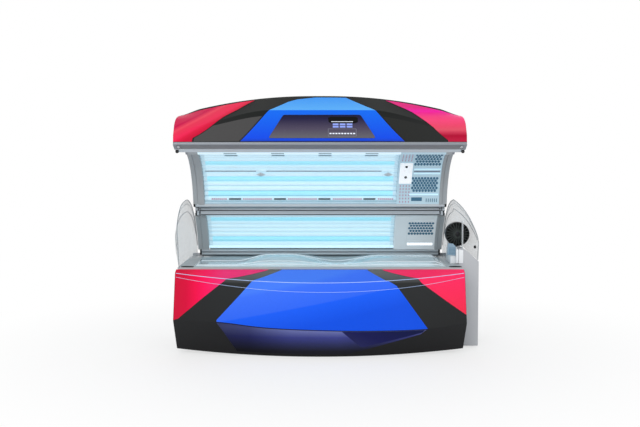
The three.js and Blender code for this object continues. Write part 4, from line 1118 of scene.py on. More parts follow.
@dataclass
class CanopyFront:
    """Front of the canopy: dark cladding, colour panels, display and aluminium rail."""

    thick: float = 10
    off: Span = (0.45, 2.8)
    grey_off: Span = (0.3, 1.4)
    grey_gap: float = 0.012
    end_left: Edge = ((0.0, -0.999),)
    end_right: Edge = ((0.0, 0.999),)
    red_left: Edge = (
        (0.02, -0.871), (0.1, -0.873), (0.278, -0.87), (0.792, -0.762), (1.17, -0.676), (1.413, -0.59),
        (1.93, -0.475),
    )
    red_right: Edge = (
        (0.02, 0.874), (0.147, 0.872), (0.828, 0.784), (1.403, 0.657), (1.633, 0.565), (1.93, 0.474),
    )
    blue_left: Edge = ((0.02, -0.545), (0.963, -0.365), (1.585, -0.231), (1.75, -0.169), (1.9, -0.01))
    blue_right: Edge = ((0.02, 0.578), (0.968, 0.395), (1.453, 0.288), (1.9, 0.186))
    cheek_front: Edge = ((-17, 718), (9.8, 716), (120, 688), (356, 672))
    display_left: Edge = (
        (0.115, -0.338), (0.13, -0.347), (0.16, -0.346), (0.79, -0.262), (0.82, -0.256), (0.835, -0.246),
    )
    display_right: Edge = (
        (0.115, 0.368), (0.13, 0.376), (0.16, 0.374), (0.79, 0.288), (0.82, 0.282), (0.835, 0.272),
    )
    display_off: Span = (3.3, 7.0)
    screen_left: Edge = ((0.565, 0.085), (0.6, 0.06), (0.74, 0.056), (0.77, 0.075))
    screen_right: Edge = ((0.565, 0.24), (0.6, 0.262), (0.74, 0.262), (0.77, 0.245))
    screen_off: Span = (7.2, 7.9)
    mark_off: float = 8.4
    icon_size: Size = (44, 17, 1.2)
    mark_size: Size = (15, 11, 1.2)
    rail_half: float = 1125
    rail_front: float = 798
    rail_nose: float = 14
    rail_section: Edge = (
        (684, -40), (739, -41.6), (742, -36.6), (780, -35), (783, -38), (788, -36.3), (792, -34),
        (797, -28), (798, -22), (796, -17), (699, -17), (697.8, -30.2),
    )
    nose_from: float = 760
    trim: float = 709
    taper: float = 37
    taper_span: Span = (770, 709)
    rail_channel: Edge = ((744, -37.9), (779, -36.4), (779, -35.3), (744, -36.8))
    rail_lip: Edge = ((710, -41.9), (739, -42.6), (739, -41.3), (710, -40.6))
    rail_shade: Edge = ((684.5, -41.2), (708.5, -41.8), (708.5, -40.6), (684.5, -39.9))
    buffer: Edge = ((AXIS, 0), (11, 0), (13, 2), (13, 12), (10, 16), (AXIS, 16.5))
    screw_size: Size = (11, 11, 9)

    def build(self) -> None:
        """Builds the cladding and everything on it."""
        self._panels()
        self._display()
        self._rail()

    def _panels(self) -> None:
        """Builds the cladding, its end returns and the colour panels."""
        skin, piece, body = CANOPY_SKIN, Workshop.piece, Body.CANOPY
        cladding = skin.zone(*ENDS, (0, 2), (-self.thick, 0), 120)
        piece("canopy_cladding", cladding, CANOPY_DARK, body, ["canopy_front_cladding"])
        for side, sign in (("left", -1), ("right", 1)):
            rows, shares = spread(0, 1.97, 24), spread(0, 1, 10)
            grids = [
                [[self.return_point(sign, v, k, inner) for k in shares] for v in rows]
                for inner in (False, True)
            ]
            piece(f"canopy_return_{side}", Workshop.sheet(*grids), CANOPY_DARK, body)
        blue = (self.blue_left, self.blue_right)
        left, right = (self.end_left, self.red_left), (self.red_right, self.end_right)
        for name, edges, rows, finish, nodes in (
            ("red_panel_left", left, (0.03, 1.9), CANOPY_RED_LEFT_LIT, ["red_left"]),
            ("red_panel_right", right, (0.03, 1.9), CANOPY_RED_RIGHT_LIT, ["red_right"]),
            ("blue_panel", blue, (0.03, 1.0), CANOPY_BLUE, ["blue"]),
            ("sky_panel", blue, (1.0, 1.88), SKY, []),
        ):
            shape = skin.zone(*edges, rows, self.off)
            piece(f"canopy_{name}", shape, finish, body, [f"canopy_decor_{node}" for node in nodes])
        red_left, blue_right = (self._shifted(e, self.grey_gap) for e in (self.red_left, self.blue_right))
        blue_left, red_right = (self._shifted(e, -self.grey_gap) for e in (self.blue_left, self.red_right))
        for side, left, right, finish in (
            ("left", red_left, blue_left, GREY), ("right", blue_right, red_right, GREY_RIGHT),
        ):
            shape = skin.zone(left, right, (0.04, 0.82), self.grey_off)
            piece(f"canopy_grey_panel_{side}", shape, finish, body)

    @staticmethod
    def _shifted(edge: Edge, gap: float) -> Edge:
        """Panel's edge moved across the bed by a gap."""
        return tuple((v, t + gap) for v, t in edge)

    def return_point(self, sign: int, v: float, share: float, inner: bool) -> Vector:
        """Point of the return that leads from the cladding's end back to the cheek.

        Args:
            sign: end of the bed, -1 for the left.
            v: place down the cladding's rows.
            share: 0 at the cladding and 1 at the cheek.
            inner: whether it is on the hidden face.
        Returns:
            The point in metres.
        """
        tip = CANOPY_SKIN.raw(sign, v)
        w = tip.z - 9 * smoothstep(v, 1.5, 2.0)
        x = lerp(abs(tip.x) - 0.5, TUNNEL_HALF + 0.3, share * share)
        u = lerp(tip.y - 8, along(self.cheek_front, w), share)
        if inner:
            x, u = max(x - 3, TUNNEL_HALF + 0.1), u + 5
        return place_level(sign * x, u, w)

    def _display(self) -> None:
        """Builds the control display with its plain screen and icons."""
        skin, piece, body = CANOPY_SKIN, Workshop.piece, Body.CANOPY
        face = skin.zone(self.display_left, self.display_right, (0.115, 0.835), self.display_off)
        piece("display", face, DISPLAY, body, ["control_panel"])
        screen = skin.zone(self.screen_left, self.screen_right, (0.565, 0.77), self.screen_off, 12)
        piece("display_screen", screen, SCREEN, body)
        line = skin.zone(((0, 0.078),), ((0, 0.229),), (0.606, 0.622), (8.0, 8.4), 8, 2)
        piece("display_line", line, MARK, body)
        for name, rows, across in (
            ("top", (0.385, 0.395), (0.055, 0.25)), ("foot", (0.16, 0.17), (0.055, 0.25)),
            ("left", (0.17, 0.385), (0.055, 0.058)), ("right", (0.17, 0.385), (0.247, 0.25)),
        ):
            shape = skin.zone(*(((0, t),) for t in across), rows, self.screen_off, 6, 2)
            piece(f"display_box_{name}", shape, FRAME_LINE, body)
        icons = [skin.spot(t, v, self.mark_off) for t in spread(0.108, 0.204, 2) for v in (0.455, 0.53)]
        Repeater(Stamp.BLOCK, self.icon_size).build("display_icons", icons, ICON, body)
        marks = [skin.spot(t, 0.245, self.mark_off) for t in spread(0.072, 0.234, 8)]
        Repeater(Stamp.BLOCK, self.mark_size).build("display_marks", marks, MARK, body)

    def _rail(self) -> None:
        """Builds the front rail with its channel, covers, buffers and screws."""
        half, nose, body = self.rail_half, self.rail_nose, Body.CANOPY
        angles = spread(0, math.pi / 2, 8)
        ends = [(-half + nose * (1 - math.cos(a)), nose * (1 - math.sin(a))) for a in angles]
        steps = [(k * (TUNNEL_HALF + g), 0.0) for k in (-1, 1) for g in (2, 0)]
        path = sorted({*ends, *((-x, d) for x, d in ends), *steps})
        rings = [[self._rail_point(x, d, u, w) for u, w in self.rail_section] for x, d in path]
        Workshop.piece("front_rail", Workshop.loft(rings), RAIL, body, ["canopy_front_rail"])
        lip, shade, corner = self.rail_lip, self.rail_shade, TUNNEL_HALF - 16
        for name, section, x0, x1, finish in (
            ("channel", self.rail_channel, -1098, 1098, RAIL_DARK), ("lip", lip, -1086, 1086, RAIL_LIP_GLOW),
            ("diffuser", shade, -PANE_HALF, HEAD_X, LAMP), ("head_cover", shade, HEAD_X, HEAD_RIGHT, SLATE_GLOW),
            ("end_left", shade, -corner, -FRAME_IN, FRAME),
            ("end_right", shade, HEAD_RIGHT + 0.3, corner, FRAME),
        ):
            Workshop.piece(f"front_rail_{name}", Workshop.along_canopy(x0, x1, section), finish, body)
        down = (place_level(0, 0, -1) - place_level(0, 0, 0)).normalized()
        for side, x in (("left", -1098), ("right", 1098)):
            shape = Workshop.lathe(self.buffer, place_level(x, 725, -41.2), down)
            Workshop.piece(f"rail_buffer_{side}", shape, RUBBER, body)
        screws = [Spot(place_level(x, 766, -37.2), down) for x in (-1084, 1084)]
        Repeater(Stamp.PRISM, self.screw_size, 20).build("rail_end_screws", screws, CHROME, body)

    def _rail_point(self, x: float, back: float, u: float, w: float) -> Vector:
        """Point of the rail's section, with the ends trimmed back and rounded.

        Args:
            x: place along the bed in mm.
            back: how far the rounded nose stands back there.
            u: forward place of the section's point.
            w: its height.
        Returns:
            The point in metres.
        """
        nose = min(u, self.rail_front - back) if u > self.nose_from else u
        kept = max(nose, self.trim) if abs(x) > TUNNEL_HALF + 1 else nose
        front, rear = self.taper_span
        reach = self.rail_half - self.taper * max(0.0, (front - kept) / (front - rear)) ** 2.5
        return place_level(math.copysign(min(abs(x), max(reach, TUNNEL_HALF)), x), kept, w)


@dataclass
class Lamps:
    """Rows of tube lamps with their caps."""

    radius: float = 19
    sides: int = 20
    cap_radius: float = 19.6
    cap_length: float = 30
    cap_inset: float = 16
    end_gap: float = 26
    canopy_radius: float = 581
    canopy_turns: Span = (-29.25, 29.25)
    canopy_cyan: tuple[int, ...] = (5, 9, 12)
    side_radius: float = 616
    side_turns: Span = (21, 50.4)
    side_cyan: tuple[int, ...] = (1, 6)
    bench_row: Span = (122, 698)
    bench_z: float = 615

    def bank(
        self, name: str, axes: Sequence[Vector], ends: Span, body: Body, cyan: Sequence[int] = ()
    ) -> None:
        """Builds one bank.

        Args:
            name: stem of its pieces' names and of its CAD node's name.
            axes: a point on each tube's axis.
            ends: its left and right end.
            body: what it rides on.
            cyan: tubes with the bluer phosphor.
        """
        x0, x1 = ends
        middle = ((x0 + x1) / 2 + SHIFT_X) * MM
        tube = Repeater(Stamp.PRISM, (self.radius, self.radius, x1 - x0 - 2 * self.end_gap), self.sides)
        centred = [Spot(Vector((middle, p.y, p.z)), LONG, UP) for p in axes]
        plain = [s for i, s in enumerate(centred) if i not in cyan]
        tube.build(f"{name}_tubes", plain, LAMP, body, [f"{name}_bank"])
        if cyan:
            tube.build(f"{name}_tubes_cyan", [centred[i] for i in cyan], LAMP_CYAN, body)
        tips = [(x + SHIFT_X) * MM for x in (x0 + self.cap_inset, x1 - self.cap_inset)]
        caps = [Spot(Vector((x, p.y, p.z)), LONG, UP) for p in axes for x in tips]
        cap = Repeater(Stamp.PRISM, (self.cap_radius, self.cap_radius, self.cap_length), self.sides)
        cap.build(f"{name}_caps", caps, LAMP_CAP_GLOW, body)

    def build(self) -> None:
        """Builds the three banks."""
        tunnel = (-PANE_HALF, PANE_RIGHT)
        canopy = [CANOPY_ARC.point(0, self.canopy_radius, a) for a in spread(*self.canopy_turns, 13)]
        self.bank("canopy_lamp", canopy, tunnel, Body.CANOPY, self.canopy_cyan)
        side = [SIDE_ARC.point(0, self.side_radius, a) for a in spread(*self.side_turns, 7)]
        self.bank("side_lamp", side, tunnel, Body.BASE, self.side_cyan)
        bench = [place(0, y, self.bench_z) for y in spread(*self.bench_row, 12)]
        self.bank("bench_lamp", bench, (-PANE_HALF + 6, PANE_HALF - 6), Body.BASE)


@dataclass
class Tunnel:
    """Lamp side of the canopy and the side tanner: panes, end frames, vents and slots."""

    vent_x: tuple[float, ...] = (-694, -327, 39, 401)
    slot_x: tuple[float, ...] = (-694, -326.5, 36.7, 404)
    pane_thick: float = 5
    lip_depth: Span = (7, 13)
    frame_depths: Span = (53, 35)
    frame_face: Edge = ((996, -5), (997, -1), (1002, -1), (1003, -5), (1034, -5), (1037, -2), (1037, 4))
    cheek_x: float = 1027
    cheek_thick: float = 9.9
    cheek_radius: float = 590
    cheek_front: tuple[float, float] = (688, 120)
    cheek_top: Edge = ((672, 356), (499, 411), (279, 349), (42, 204), (-42, 97))
    dash_spans: tuple[tuple[int, int], ...] = ((-914, -513), (-425, 497))
    dash_pitch: int = 11
    diode_span: tuple[int, int] = (-880, 600)
    diode_pitch: int = 16
    slot_clear: float = 62

    def build(self) -> None:
        """Builds both tunnel faces."""
        self._panes()
        self._frames()
        self._canopy_detail()

    def _panes(self) -> None:
        """Builds the two clear panes and the lit lips behind their lower edges."""
        ends = (-PANE_HALF, PANE_RIGHT)
        for arc, stem, body in ((CANOPY_ARC, "canopy", Body.CANOPY), (SIDE_ARC, "side", Body.BASE)):
            radii = (arc.radius, arc.radius + self.pane_thick)
            shape = arc.strip(ends, 12, radii, (arc.start, arc.stop))
            Workshop.piece(f"{stem}_pane", shape, PANE, body, [f"{stem}_acrylic"])
        for arc, stem, turn, body, finish in (
            (CANOPY_ARC, "canopy", (31.2, 32.9), Body.CANOPY, LIP_GREY),
            (SIDE_ARC, "side", (18.1, 20.2), Body.BASE, LIP_BRIGHT),
        ):
            near, far = self.lip_depth
            shape = arc.strip(ends, 2, (arc.radius + near, arc.radius + far), turn, 4)
            Workshop.piece(f"{stem}_lamp_lip", shape, finish, body)

    def _frames(self) -> None:
        """Builds the grey end frames with their groove, and the canopy's cheeks."""
        canopy, side_tanner = CANOPY_ARC, SIDE_ARC
        for sign, side, inner in ((-1, "left", FRAME_IN), (1, "right", HEAD_RIGHT + 0.3)):
            corners = [(inner, 2), (inner, -3), (inner + 2, -5), *self.frame_face]
            for arc, deep, turn, stem, finish, body in (
                (
                    canopy, self.frame_depths[0], (canopy.start, canopy.stop + 1.0), "canopy_end_frame",
                    FRAME, Body.CANOPY,
                ),
                (
                    side_tanner, self.frame_depths[1], (side_tanner.start - 0.8, side_tanner.stop),
                    "side_end_frame", SILVER, Body.BASE,
                ),
            ):
                face = [(sign * x, arc.radius + r) for x, r in corners]
                back = [(x, arc.radius + deep) for x, _ in face]
                shape = arc.sweep(face, back, turn)
                Workshop.piece(f"{stem}_trim_{side}", shape, finish, body, [f"{stem}_{side}"])
            x = sign * self.cheek_x
            foot = [canopy.point(x, self.cheek_radius, a) for a in spread(33, -33, 24)]
            top = [place_level(x, u, w) for u, w in [self.cheek_front, *spline(self.cheek_top, 8)]]
            shape = Workshop.prism(foot + top, sign * self.cheek_thick)
            Workshop.piece(f"canopy_cheek_{side}", shape, FRAME, Body.CANOPY)

    def _canopy_detail(self) -> None:
        """Builds the vents, slots, dashes and diodes seen on the canopy's pane."""
        arc = CANOPY_ARC
        down = (place_level(0, 0, -1) - place_level(0, 0, 0)).normalized()
        first, last = self.diode_span
        row = [
            x for x in range(first, last, self.diode_pitch)
            if all(abs(x - s) > self.slot_clear for s in self.slot_x)
        ]
        dashes = [x for a, b in self.dash_spans for x in range(a, b, self.dash_pitch)]
        lines = [Spot(place_level(x, 696, -41.9), down) for x in self.vent_x]
        for name, size, spots, finish in (
            ("pane_vents", (100, 16, 4), [arc.spot(x, -24.8, 1.5) for x in self.vent_x], VENT),
            ("rail_vents", (100, 9, 2), lines, VENT),
            ("pane_slots", (98, 11.5, 4), [arc.spot(x, 28.5, 1.5) for x in self.slot_x], SLOT),
            ("pane_dashes", (9, 8, 3), [arc.spot(x, 0.0, 1.2) for x in dashes], DASH),
            ("pane_diodes", (10.5, 10.5, 3), [arc.spot(x, 28.5, 1.2) for x in row], PINK),
        ):
            Repeater(Stamp.BLOCK, size).build(name, spots, finish, Body.CANOPY)


@dataclass
class FaceTanner:
    """Face panel at the canopy's head end: hex grilles, light bars, nozzle plate and nozzles."""

    face: float = 543
    back: float = 570
    bar_radii: Span = (540.2, 542.8)
    hex_out: float = 3
    plate: Edge = ((638, 539), (641, 537), (689, 537), (736, 537), (740, 539))
    plate_back: float = 542.7
    plate_turn: Span = (-11, 13.4)
    diode_x: tuple[float, ...] = (652, 676, 700, 724)
    diode_turns: tuple[float, ...] = (-27, -24, -21, -18, -15, 16, 19, 22, 25, 28, 31)
    nozzle_x: float = 690
    nozzle_seat: float = 541
    nozzle_turn: float = 6.5
    ball: float = 13
    ball_stretch: float = 0.94

    def build(self) -> None:
        """Builds the panel and everything on it."""
        arc, body, piece = CANOPY_ARC, Body.CANOPY, Workshop.piece
        panel = arc.strip((HEAD_X, HEAD_RIGHT), 6, (self.face, self.back), (arc.start, arc.stop))
        piece("face_panel", panel, SLATE_GLOW, body, ["face_tanner_panel"])
        for name, size, ends, turn, rows in (
            ("upper", (10.4, 19, 3), (758, 950), (-26.5, -9.5), 5),
            ("lower", (10.8, 13.5, 3), (750, 946), (8.0, 20.5), 6),
        ):
            holes = arc.hexes(ends, turn, 9, rows, self.hex_out)
            Repeater(Stamp.PRISM, size).build(f"face_grille_{name}", holes, GRILLE, body)
        for name, ends, turn, finish in (
            ("bar_upper", (754, 966), (-3.2, -1.9), LIT), ("bar_line", (754, 962), (-0.3, 0.5), DASH),
            ("bar_middle", (754, 966), (2.0, 3.2), LIT), ("bar_lower", (728, 962), (23.6, 24.8), LIT),
            ("window", (745, 832), (27.0, 30.2), GRILLE),
        ):
            piece(f"face_{name}", arc.strip(ends, 2, self.bar_radii, turn, 4), finish, body)
        dashes = [arc.spot(x, 29.6, self.hex_out) for x in spread(868, 952, 5)]
        Repeater(Stamp.BLOCK, (5, 30, 3)).build("face_dashes", dashes, GRILLE, body)
        diodes = [arc.spot(x, a, self.hex_out) for x in self.diode_x for a in self.diode_turns]
        Repeater(Stamp.BLOCK, (6, 12, 3)).build("face_diodes", diodes, PINK, body)
        plate = arc.sweep(self.plate, [(x, self.plate_back) for x, _ in self.plate], self.plate_turn, 16)
        piece("nozzle_cover", plate, COVER_GLOW, body, ["nozzle_plate"])
        angles = [math.radians(a) for a in range(26, 171, 8)]
        bowl = [(self.ball * math.sin(a), self.ball * math.cos(a)) for a in angles]
        profile = [(AXIS, 2), (4.8, 2), *bowl, (AXIS, -12.9)]
        for title, deg, seat in (
            ("upper", -self.nozzle_turn, Body.NOZZLE_UPPER), ("lower", self.nozzle_turn, Body.NOZZLE_LOWER),
        ):
            centre = arc.point(self.nozzle_x, self.nozzle_seat, deg)
            shape = Workshop.lathe(profile, centre, arc.inward(deg), 24, self.ball_stretch)
            piece(f"nozzle_ball_{title}", shape, BLACK, seat, [f"mist_nozzle_{title}"])


@dataclass
class Speaker:
    """Speaker panel at the side tanner's head end, with its hex grille and lit strip."""

    face: Edge = ((HEAD_X, 578), (732, 578), (735, 582), (960, 582), (963, 578), (HEAD_RIGHT, 578))
    back: float = 602
    turn: Span = (17.2, 54)
    sunk: float = 1.0
    hex_size: Size = (11.2, 12.8, 3)
    light_size: Size = (19, 22, 3)
    bead_ends: Span = (742, 954)
    bead_radii: Span = (580.6, 581.9)

    def build(self) -> None:
        """Builds the panel and everything on it."""
        arc, piece = SIDE_ARC, Workshop.piece
        panel = arc.sweep(self.face, [(x, self.back) for x, _ in self.face], self.turn)
        piece("speaker_cover", panel, SPEAKER_GLOW, replaces=["side_speaker_panel"])
        holes = arc.hexes((752, 946), (32.4, 44), 9, 5, -self.sunk)
        Repeater(Stamp.PRISM, self.hex_size).build("speaker_grille", holes, GRILLE)
        lights = [arc.spot(x, 22, -self.sunk) for x in spread(750, 946, 9)]
        Repeater(Stamp.BLOCK, self.light_size).build("speaker_lights", lights, LIGHTS)
        for name, turn in (("top", (46.6, 47.2)), ("foot", (24.6, 25.2))):
            piece(f"speaker_bead_{name}", arc.strip(self.bead_ends, 1, self.bead_radii, turn, 3), WHITE)


@dataclass
class Profiles:
    """Aluminium profiles along the hinge line and behind the bench, with black end caps."""

    canopy_outer: Edge = ((52, -22), (66, -31), (69, -30), (71, -35), (84, -44))
    canopy_inner: tuple[float, float] = (50, 2)
    canopy_seat: Size = (541, 585, 33.04)
    canopy_half: float = 1036
    top: Edge = (
        (553, 1040), (567, 1056), (562, 1078), (548, 1078), (542, 1069), (545, 1066), (539, 1062),
        (536, 1058), (538, 1046),
    )
    top_half: float = 985.7
    sill: Edge = (
        (776, 690), (824.7, 690), (815, 733), (770, 733), (771, 722), (774, 720), (774.5, 708), (772, 706),
        (774, 696),
    )
    sill_half: float = 1023
    cap_scale: float = 1.07
    cap_length: float = 16
    hinge_tube: Edge = ((AXIS, -985.7), (19, -985.7), (20, -984), (20, 984), (19, 985.7), (AXIS, 985.7))
    hinge_cap: Edge = ((AXIS, 0), (20, 0), (20, 17), (18, 19.5), (AXIS, 20))
    hinge_cap_x: float = 1012.4
    stub_starts: Span = (-1026.5, 998.5)
    stub_length: float = 28
    stub_cap_scale: float = 1.08
    stub_cap_length: float = 12
    stub_cap_shifts: Span = (-0.5, 16.5)
    shade_line_radius: float = 3.6

    def build(self) -> None:
        """Builds the profiles, the hinge tube and the dark lines of painted shade in their grooves and
        under the hinge tube.
        """
        piece, arc = Workshop.piece, CANOPY_ARC
        near, far, deg = self.canopy_seat
        outline = [place_level(0, u, w) for u, w in self.canopy_outer]
        outline += [arc.point(0, near, deg), arc.point(0, far, deg), place_level(0, *self.canopy_inner)]
        self._run("canopy_profile", outline, self.canopy_half, Body.CANOPY, "canopy_lower_profile", 1.2)
        top = Workshop.along_bed(-self.top_half, self.top_half, self.top)
        piece("side_top_profile", top, PROFILE, replaces=["side_upper_profile"], bevel=1.0)
        hinge = place(0, HINGE_Y, HINGE_Z)
        piece("hinge_tube", Workshop.lathe(self.hinge_tube, hinge, LONG), PROFILE)
        for side, facing in (("left", -LONG), ("right", LONG)):
            seat = hinge + facing * (self.hinge_cap_x * MM)
            piece(f"hinge_cap_{side}", Workshop.lathe(self.hinge_cap, seat, facing), PROFILE)
        for side, x, shift in zip(("left", "right"), self.stub_starts, self.stub_cap_shifts):
            stub = [place(x, y, z) for y, z in self.top]
            piece(f"side_top_stub_{side}", Workshop.prism(stub, self.stub_length), PROFILE, bevel=1.0)
            cap = [p + LONG * (shift * MM) for p in self._swollen(stub, self.stub_cap_scale)]
            piece(f"side_top_stub_cap_{side}", Workshop.prism(cap, self.stub_cap_length), BLACK, bevel=1.5)
        sill = [place(0, y, z) for y, z in self.sill]
        self._run("side_sill_profile", sill, self.sill_half, Body.BASE, "side_lower_profile", 1.5)
        # Dark tubes of painted shade: in the sill's and top profile's grooves, and in the gap under the
        # hinge tube.
        for name, y, z, reach in (
            ("sill_line", 773.2, 713, 1008), ("top_line", 537.2, 1049, 985),
            ("hinge_line", 548.6, 1081.5, 985),
        ):
            bead = [place(x, y, z) for x in (-reach, reach)]
            piece(f"profile_{name}", Workshop.tube(bead, self.shade_line_radius, 10), GROOVE_SHADE)

    @staticmethod
    def _swollen(outline: Sequence[Vector], scale: float) -> list[Vector]:
        """Outline scaled about its middle."""
        middle = sum(outline, Vector()) / len(outline)
        return [middle + (p - middle) * scale for p in outline]

    def _run(
        self, name: str, outline: Sequence[Vector], half: float, body: Body, node: str, bevel: float
    ) -> None:
        """Sweeps a profile along the bed and caps its ends in black.

        Args:
            name: the profile's name.
            outline: its section at the bed's middle.
            half: half its length.
            body: what it rides on.
            node: CAD node that it stands for.
            bevel: rounding of its edges.
        """
        shift = LONG * (half * MM)
        shape = Workshop.prism([p - shift for p in outline], 2 * half)
        Workshop.piece(name, shape, PROFILE, body, [node], bevel)
        cap = self._swollen(outline, self.cap_scale)
        for side, start in (("left", -half), ("right", half - self.cap_length)):
            shape = Workshop.prism([p + LONG * (start * MM) for p in cap], self.cap_length)
            Workshop.piece(f"{name}_cap_{side}", shape, BLACK, body, bevel=1.5)


@dataclass
class PaneLocks:
    """Two diamond locks that hold the canopy's pane."""

    places: Span = (-475, 547)
    turn: float = 3.6
    seat: float = 543.8
    half: Span = (34, 21)
    rings: Edge = ((1.0, 0.0), (1.0, 6), (0.72, 10), (0.3, 11.5))
    bevel: float = 1.2

    def build(self) -> None:
        """Builds both locks, each of rings of (share of its size, height)."""
        inward = CANOPY_ARC.inward(self.turn)
        width, height = LONG * self.half[0], inward.cross(LONG) * self.half[1]
        corners = [width, height, -width, -height]
        for side, x, body in zip(("left", "right"), self.places, (Body.LOCK_LEFT, Body.LOCK_RIGHT)):
            centre = CANOPY_ARC.point(x, self.seat, self.turn)
            shape = Workshop.loft([
                [centre + (inward * h + corner * share) * MM for corner in corners]
                for share, h in self.rings
            ])
            Workshop.piece(f"lock_{side}", shape, PROFILE, body, [f"pane_lock_{side}"], self.bevel)


@dataclass
class Bench:
    """Deck frame, corner pads and the wavy clear lying surface."""

    deck_outer: Edge = ((-1104, 26), (1104, 26), (1104, 815), (-1104, 815))
    deck_inner: Edge = ((-970, 85), (970, 85), (970, 735), (-970, 735))
    deck_z: Span = (656, 672)
    pad: Edge = ((AXIS, 0), (20, 0), (22, 2), (21, 6), (16, 8), (AXIS, 8.5))
    pad_stretch: float = 2.3
    half: float = 984
    opening: Size = (970, 85, 735)
    rims: tuple[Span, Span] = ((71, 78), (742, 749))
    cols: int = 132
    rows: int = 36
    seat_z: float = 672.3
    thick: float = 5
    fall: float = 60
    foot_hump: float = 54
    foot_rise: Span = (-690, -400)
    foot_fall: Span = (-260, 150)
    head_hump: float = 46
    head_rise: Span = (130, 500)
    streak_y: tuple[float, ...] = (92, 150, 430)
    streak_half: float = 968
    streak_lift: float = 5.3
    streak_radius: float = 3.2

    def build(self) -> None:
        """Builds the deck and the lying surface."""
        piece = Workshop.piece
        outlines = (self.deck_outer, self.deck_inner)
        corners = [place(x, y, z) for z in self.deck_z for ring in outlines for x, y in ring]
        faces = []
        for i in range(4):
            j = (i + 1) % 4
            faces += [[a + i, a + j, b + j, b + i] for a, b in ((0, 4), (8, 12), (0, 8), (4, 12))]
        piece("deck_frame", (corners, faces), DECK, replaces=["bench_deck"], bevel=3)
        for side, x in (("left", -1030), ("right", 1052)):
            shape = Workshop.lathe(self.pad, place(x, 52, self.deck_z[1]), UP, 32, self.pad_stretch)
            piece(f"deck_pad_{side}", shape, BLACK)
        _, front, rear = self.opening
        depths = [*self.rims[0], *spread(front, rear, self.rows), *self.rims[1]]
        top, foot = ([self._line(self.half, y, lift) for y in depths] for lift in (self.thick, 0.0))
        piece("lying_surface", Workshop.sheet(top, foot), BENCH, Body.BENCH, ["bench_acrylic"])
        for i, y in enumerate(self.streak_y):
            line = self._line(self.streak_half, y, self.streak_lift)
            piece(f"lying_highlight_{i}", Workshop.tube(line, self.streak_radius), BENCH_LINE, Body.BENCH)

    def _line(self, half: float, y: float, lift: float) -> list[Vector]:
        """Line along the wave at depth y, out to half on both sides and lifted off the seat."""
        z = self.seat_z + lift
        return [place(x, y, z + self.rise(x, y)) for x in spread(-half, half, self.cols)]

    def rise(self, x: float, y: float) -> float:
        """Height of the wave above the deck.

        Args:
            x: place along the bed.
            y: place across it.
        Returns:
            The height in mm, 0 at the opening's rim.
        """
        half, front, rear = self.opening
        inset = min(1.0, (half - abs(x)) / self.fall)
        across = (y - front) / (rear - front)
        if inset <= 0 or across <= 0 or across >= 1:
            return 0.0
        wave = self.foot_hump * (smoothstep(x, *self.foot_rise) - smoothstep(x, *self.foot_fall))
        wave += self.head_hump * smoothstep(x, *self.head_rise)
        return wave * inset * math.sqrt(math.sin(math.pi * across))


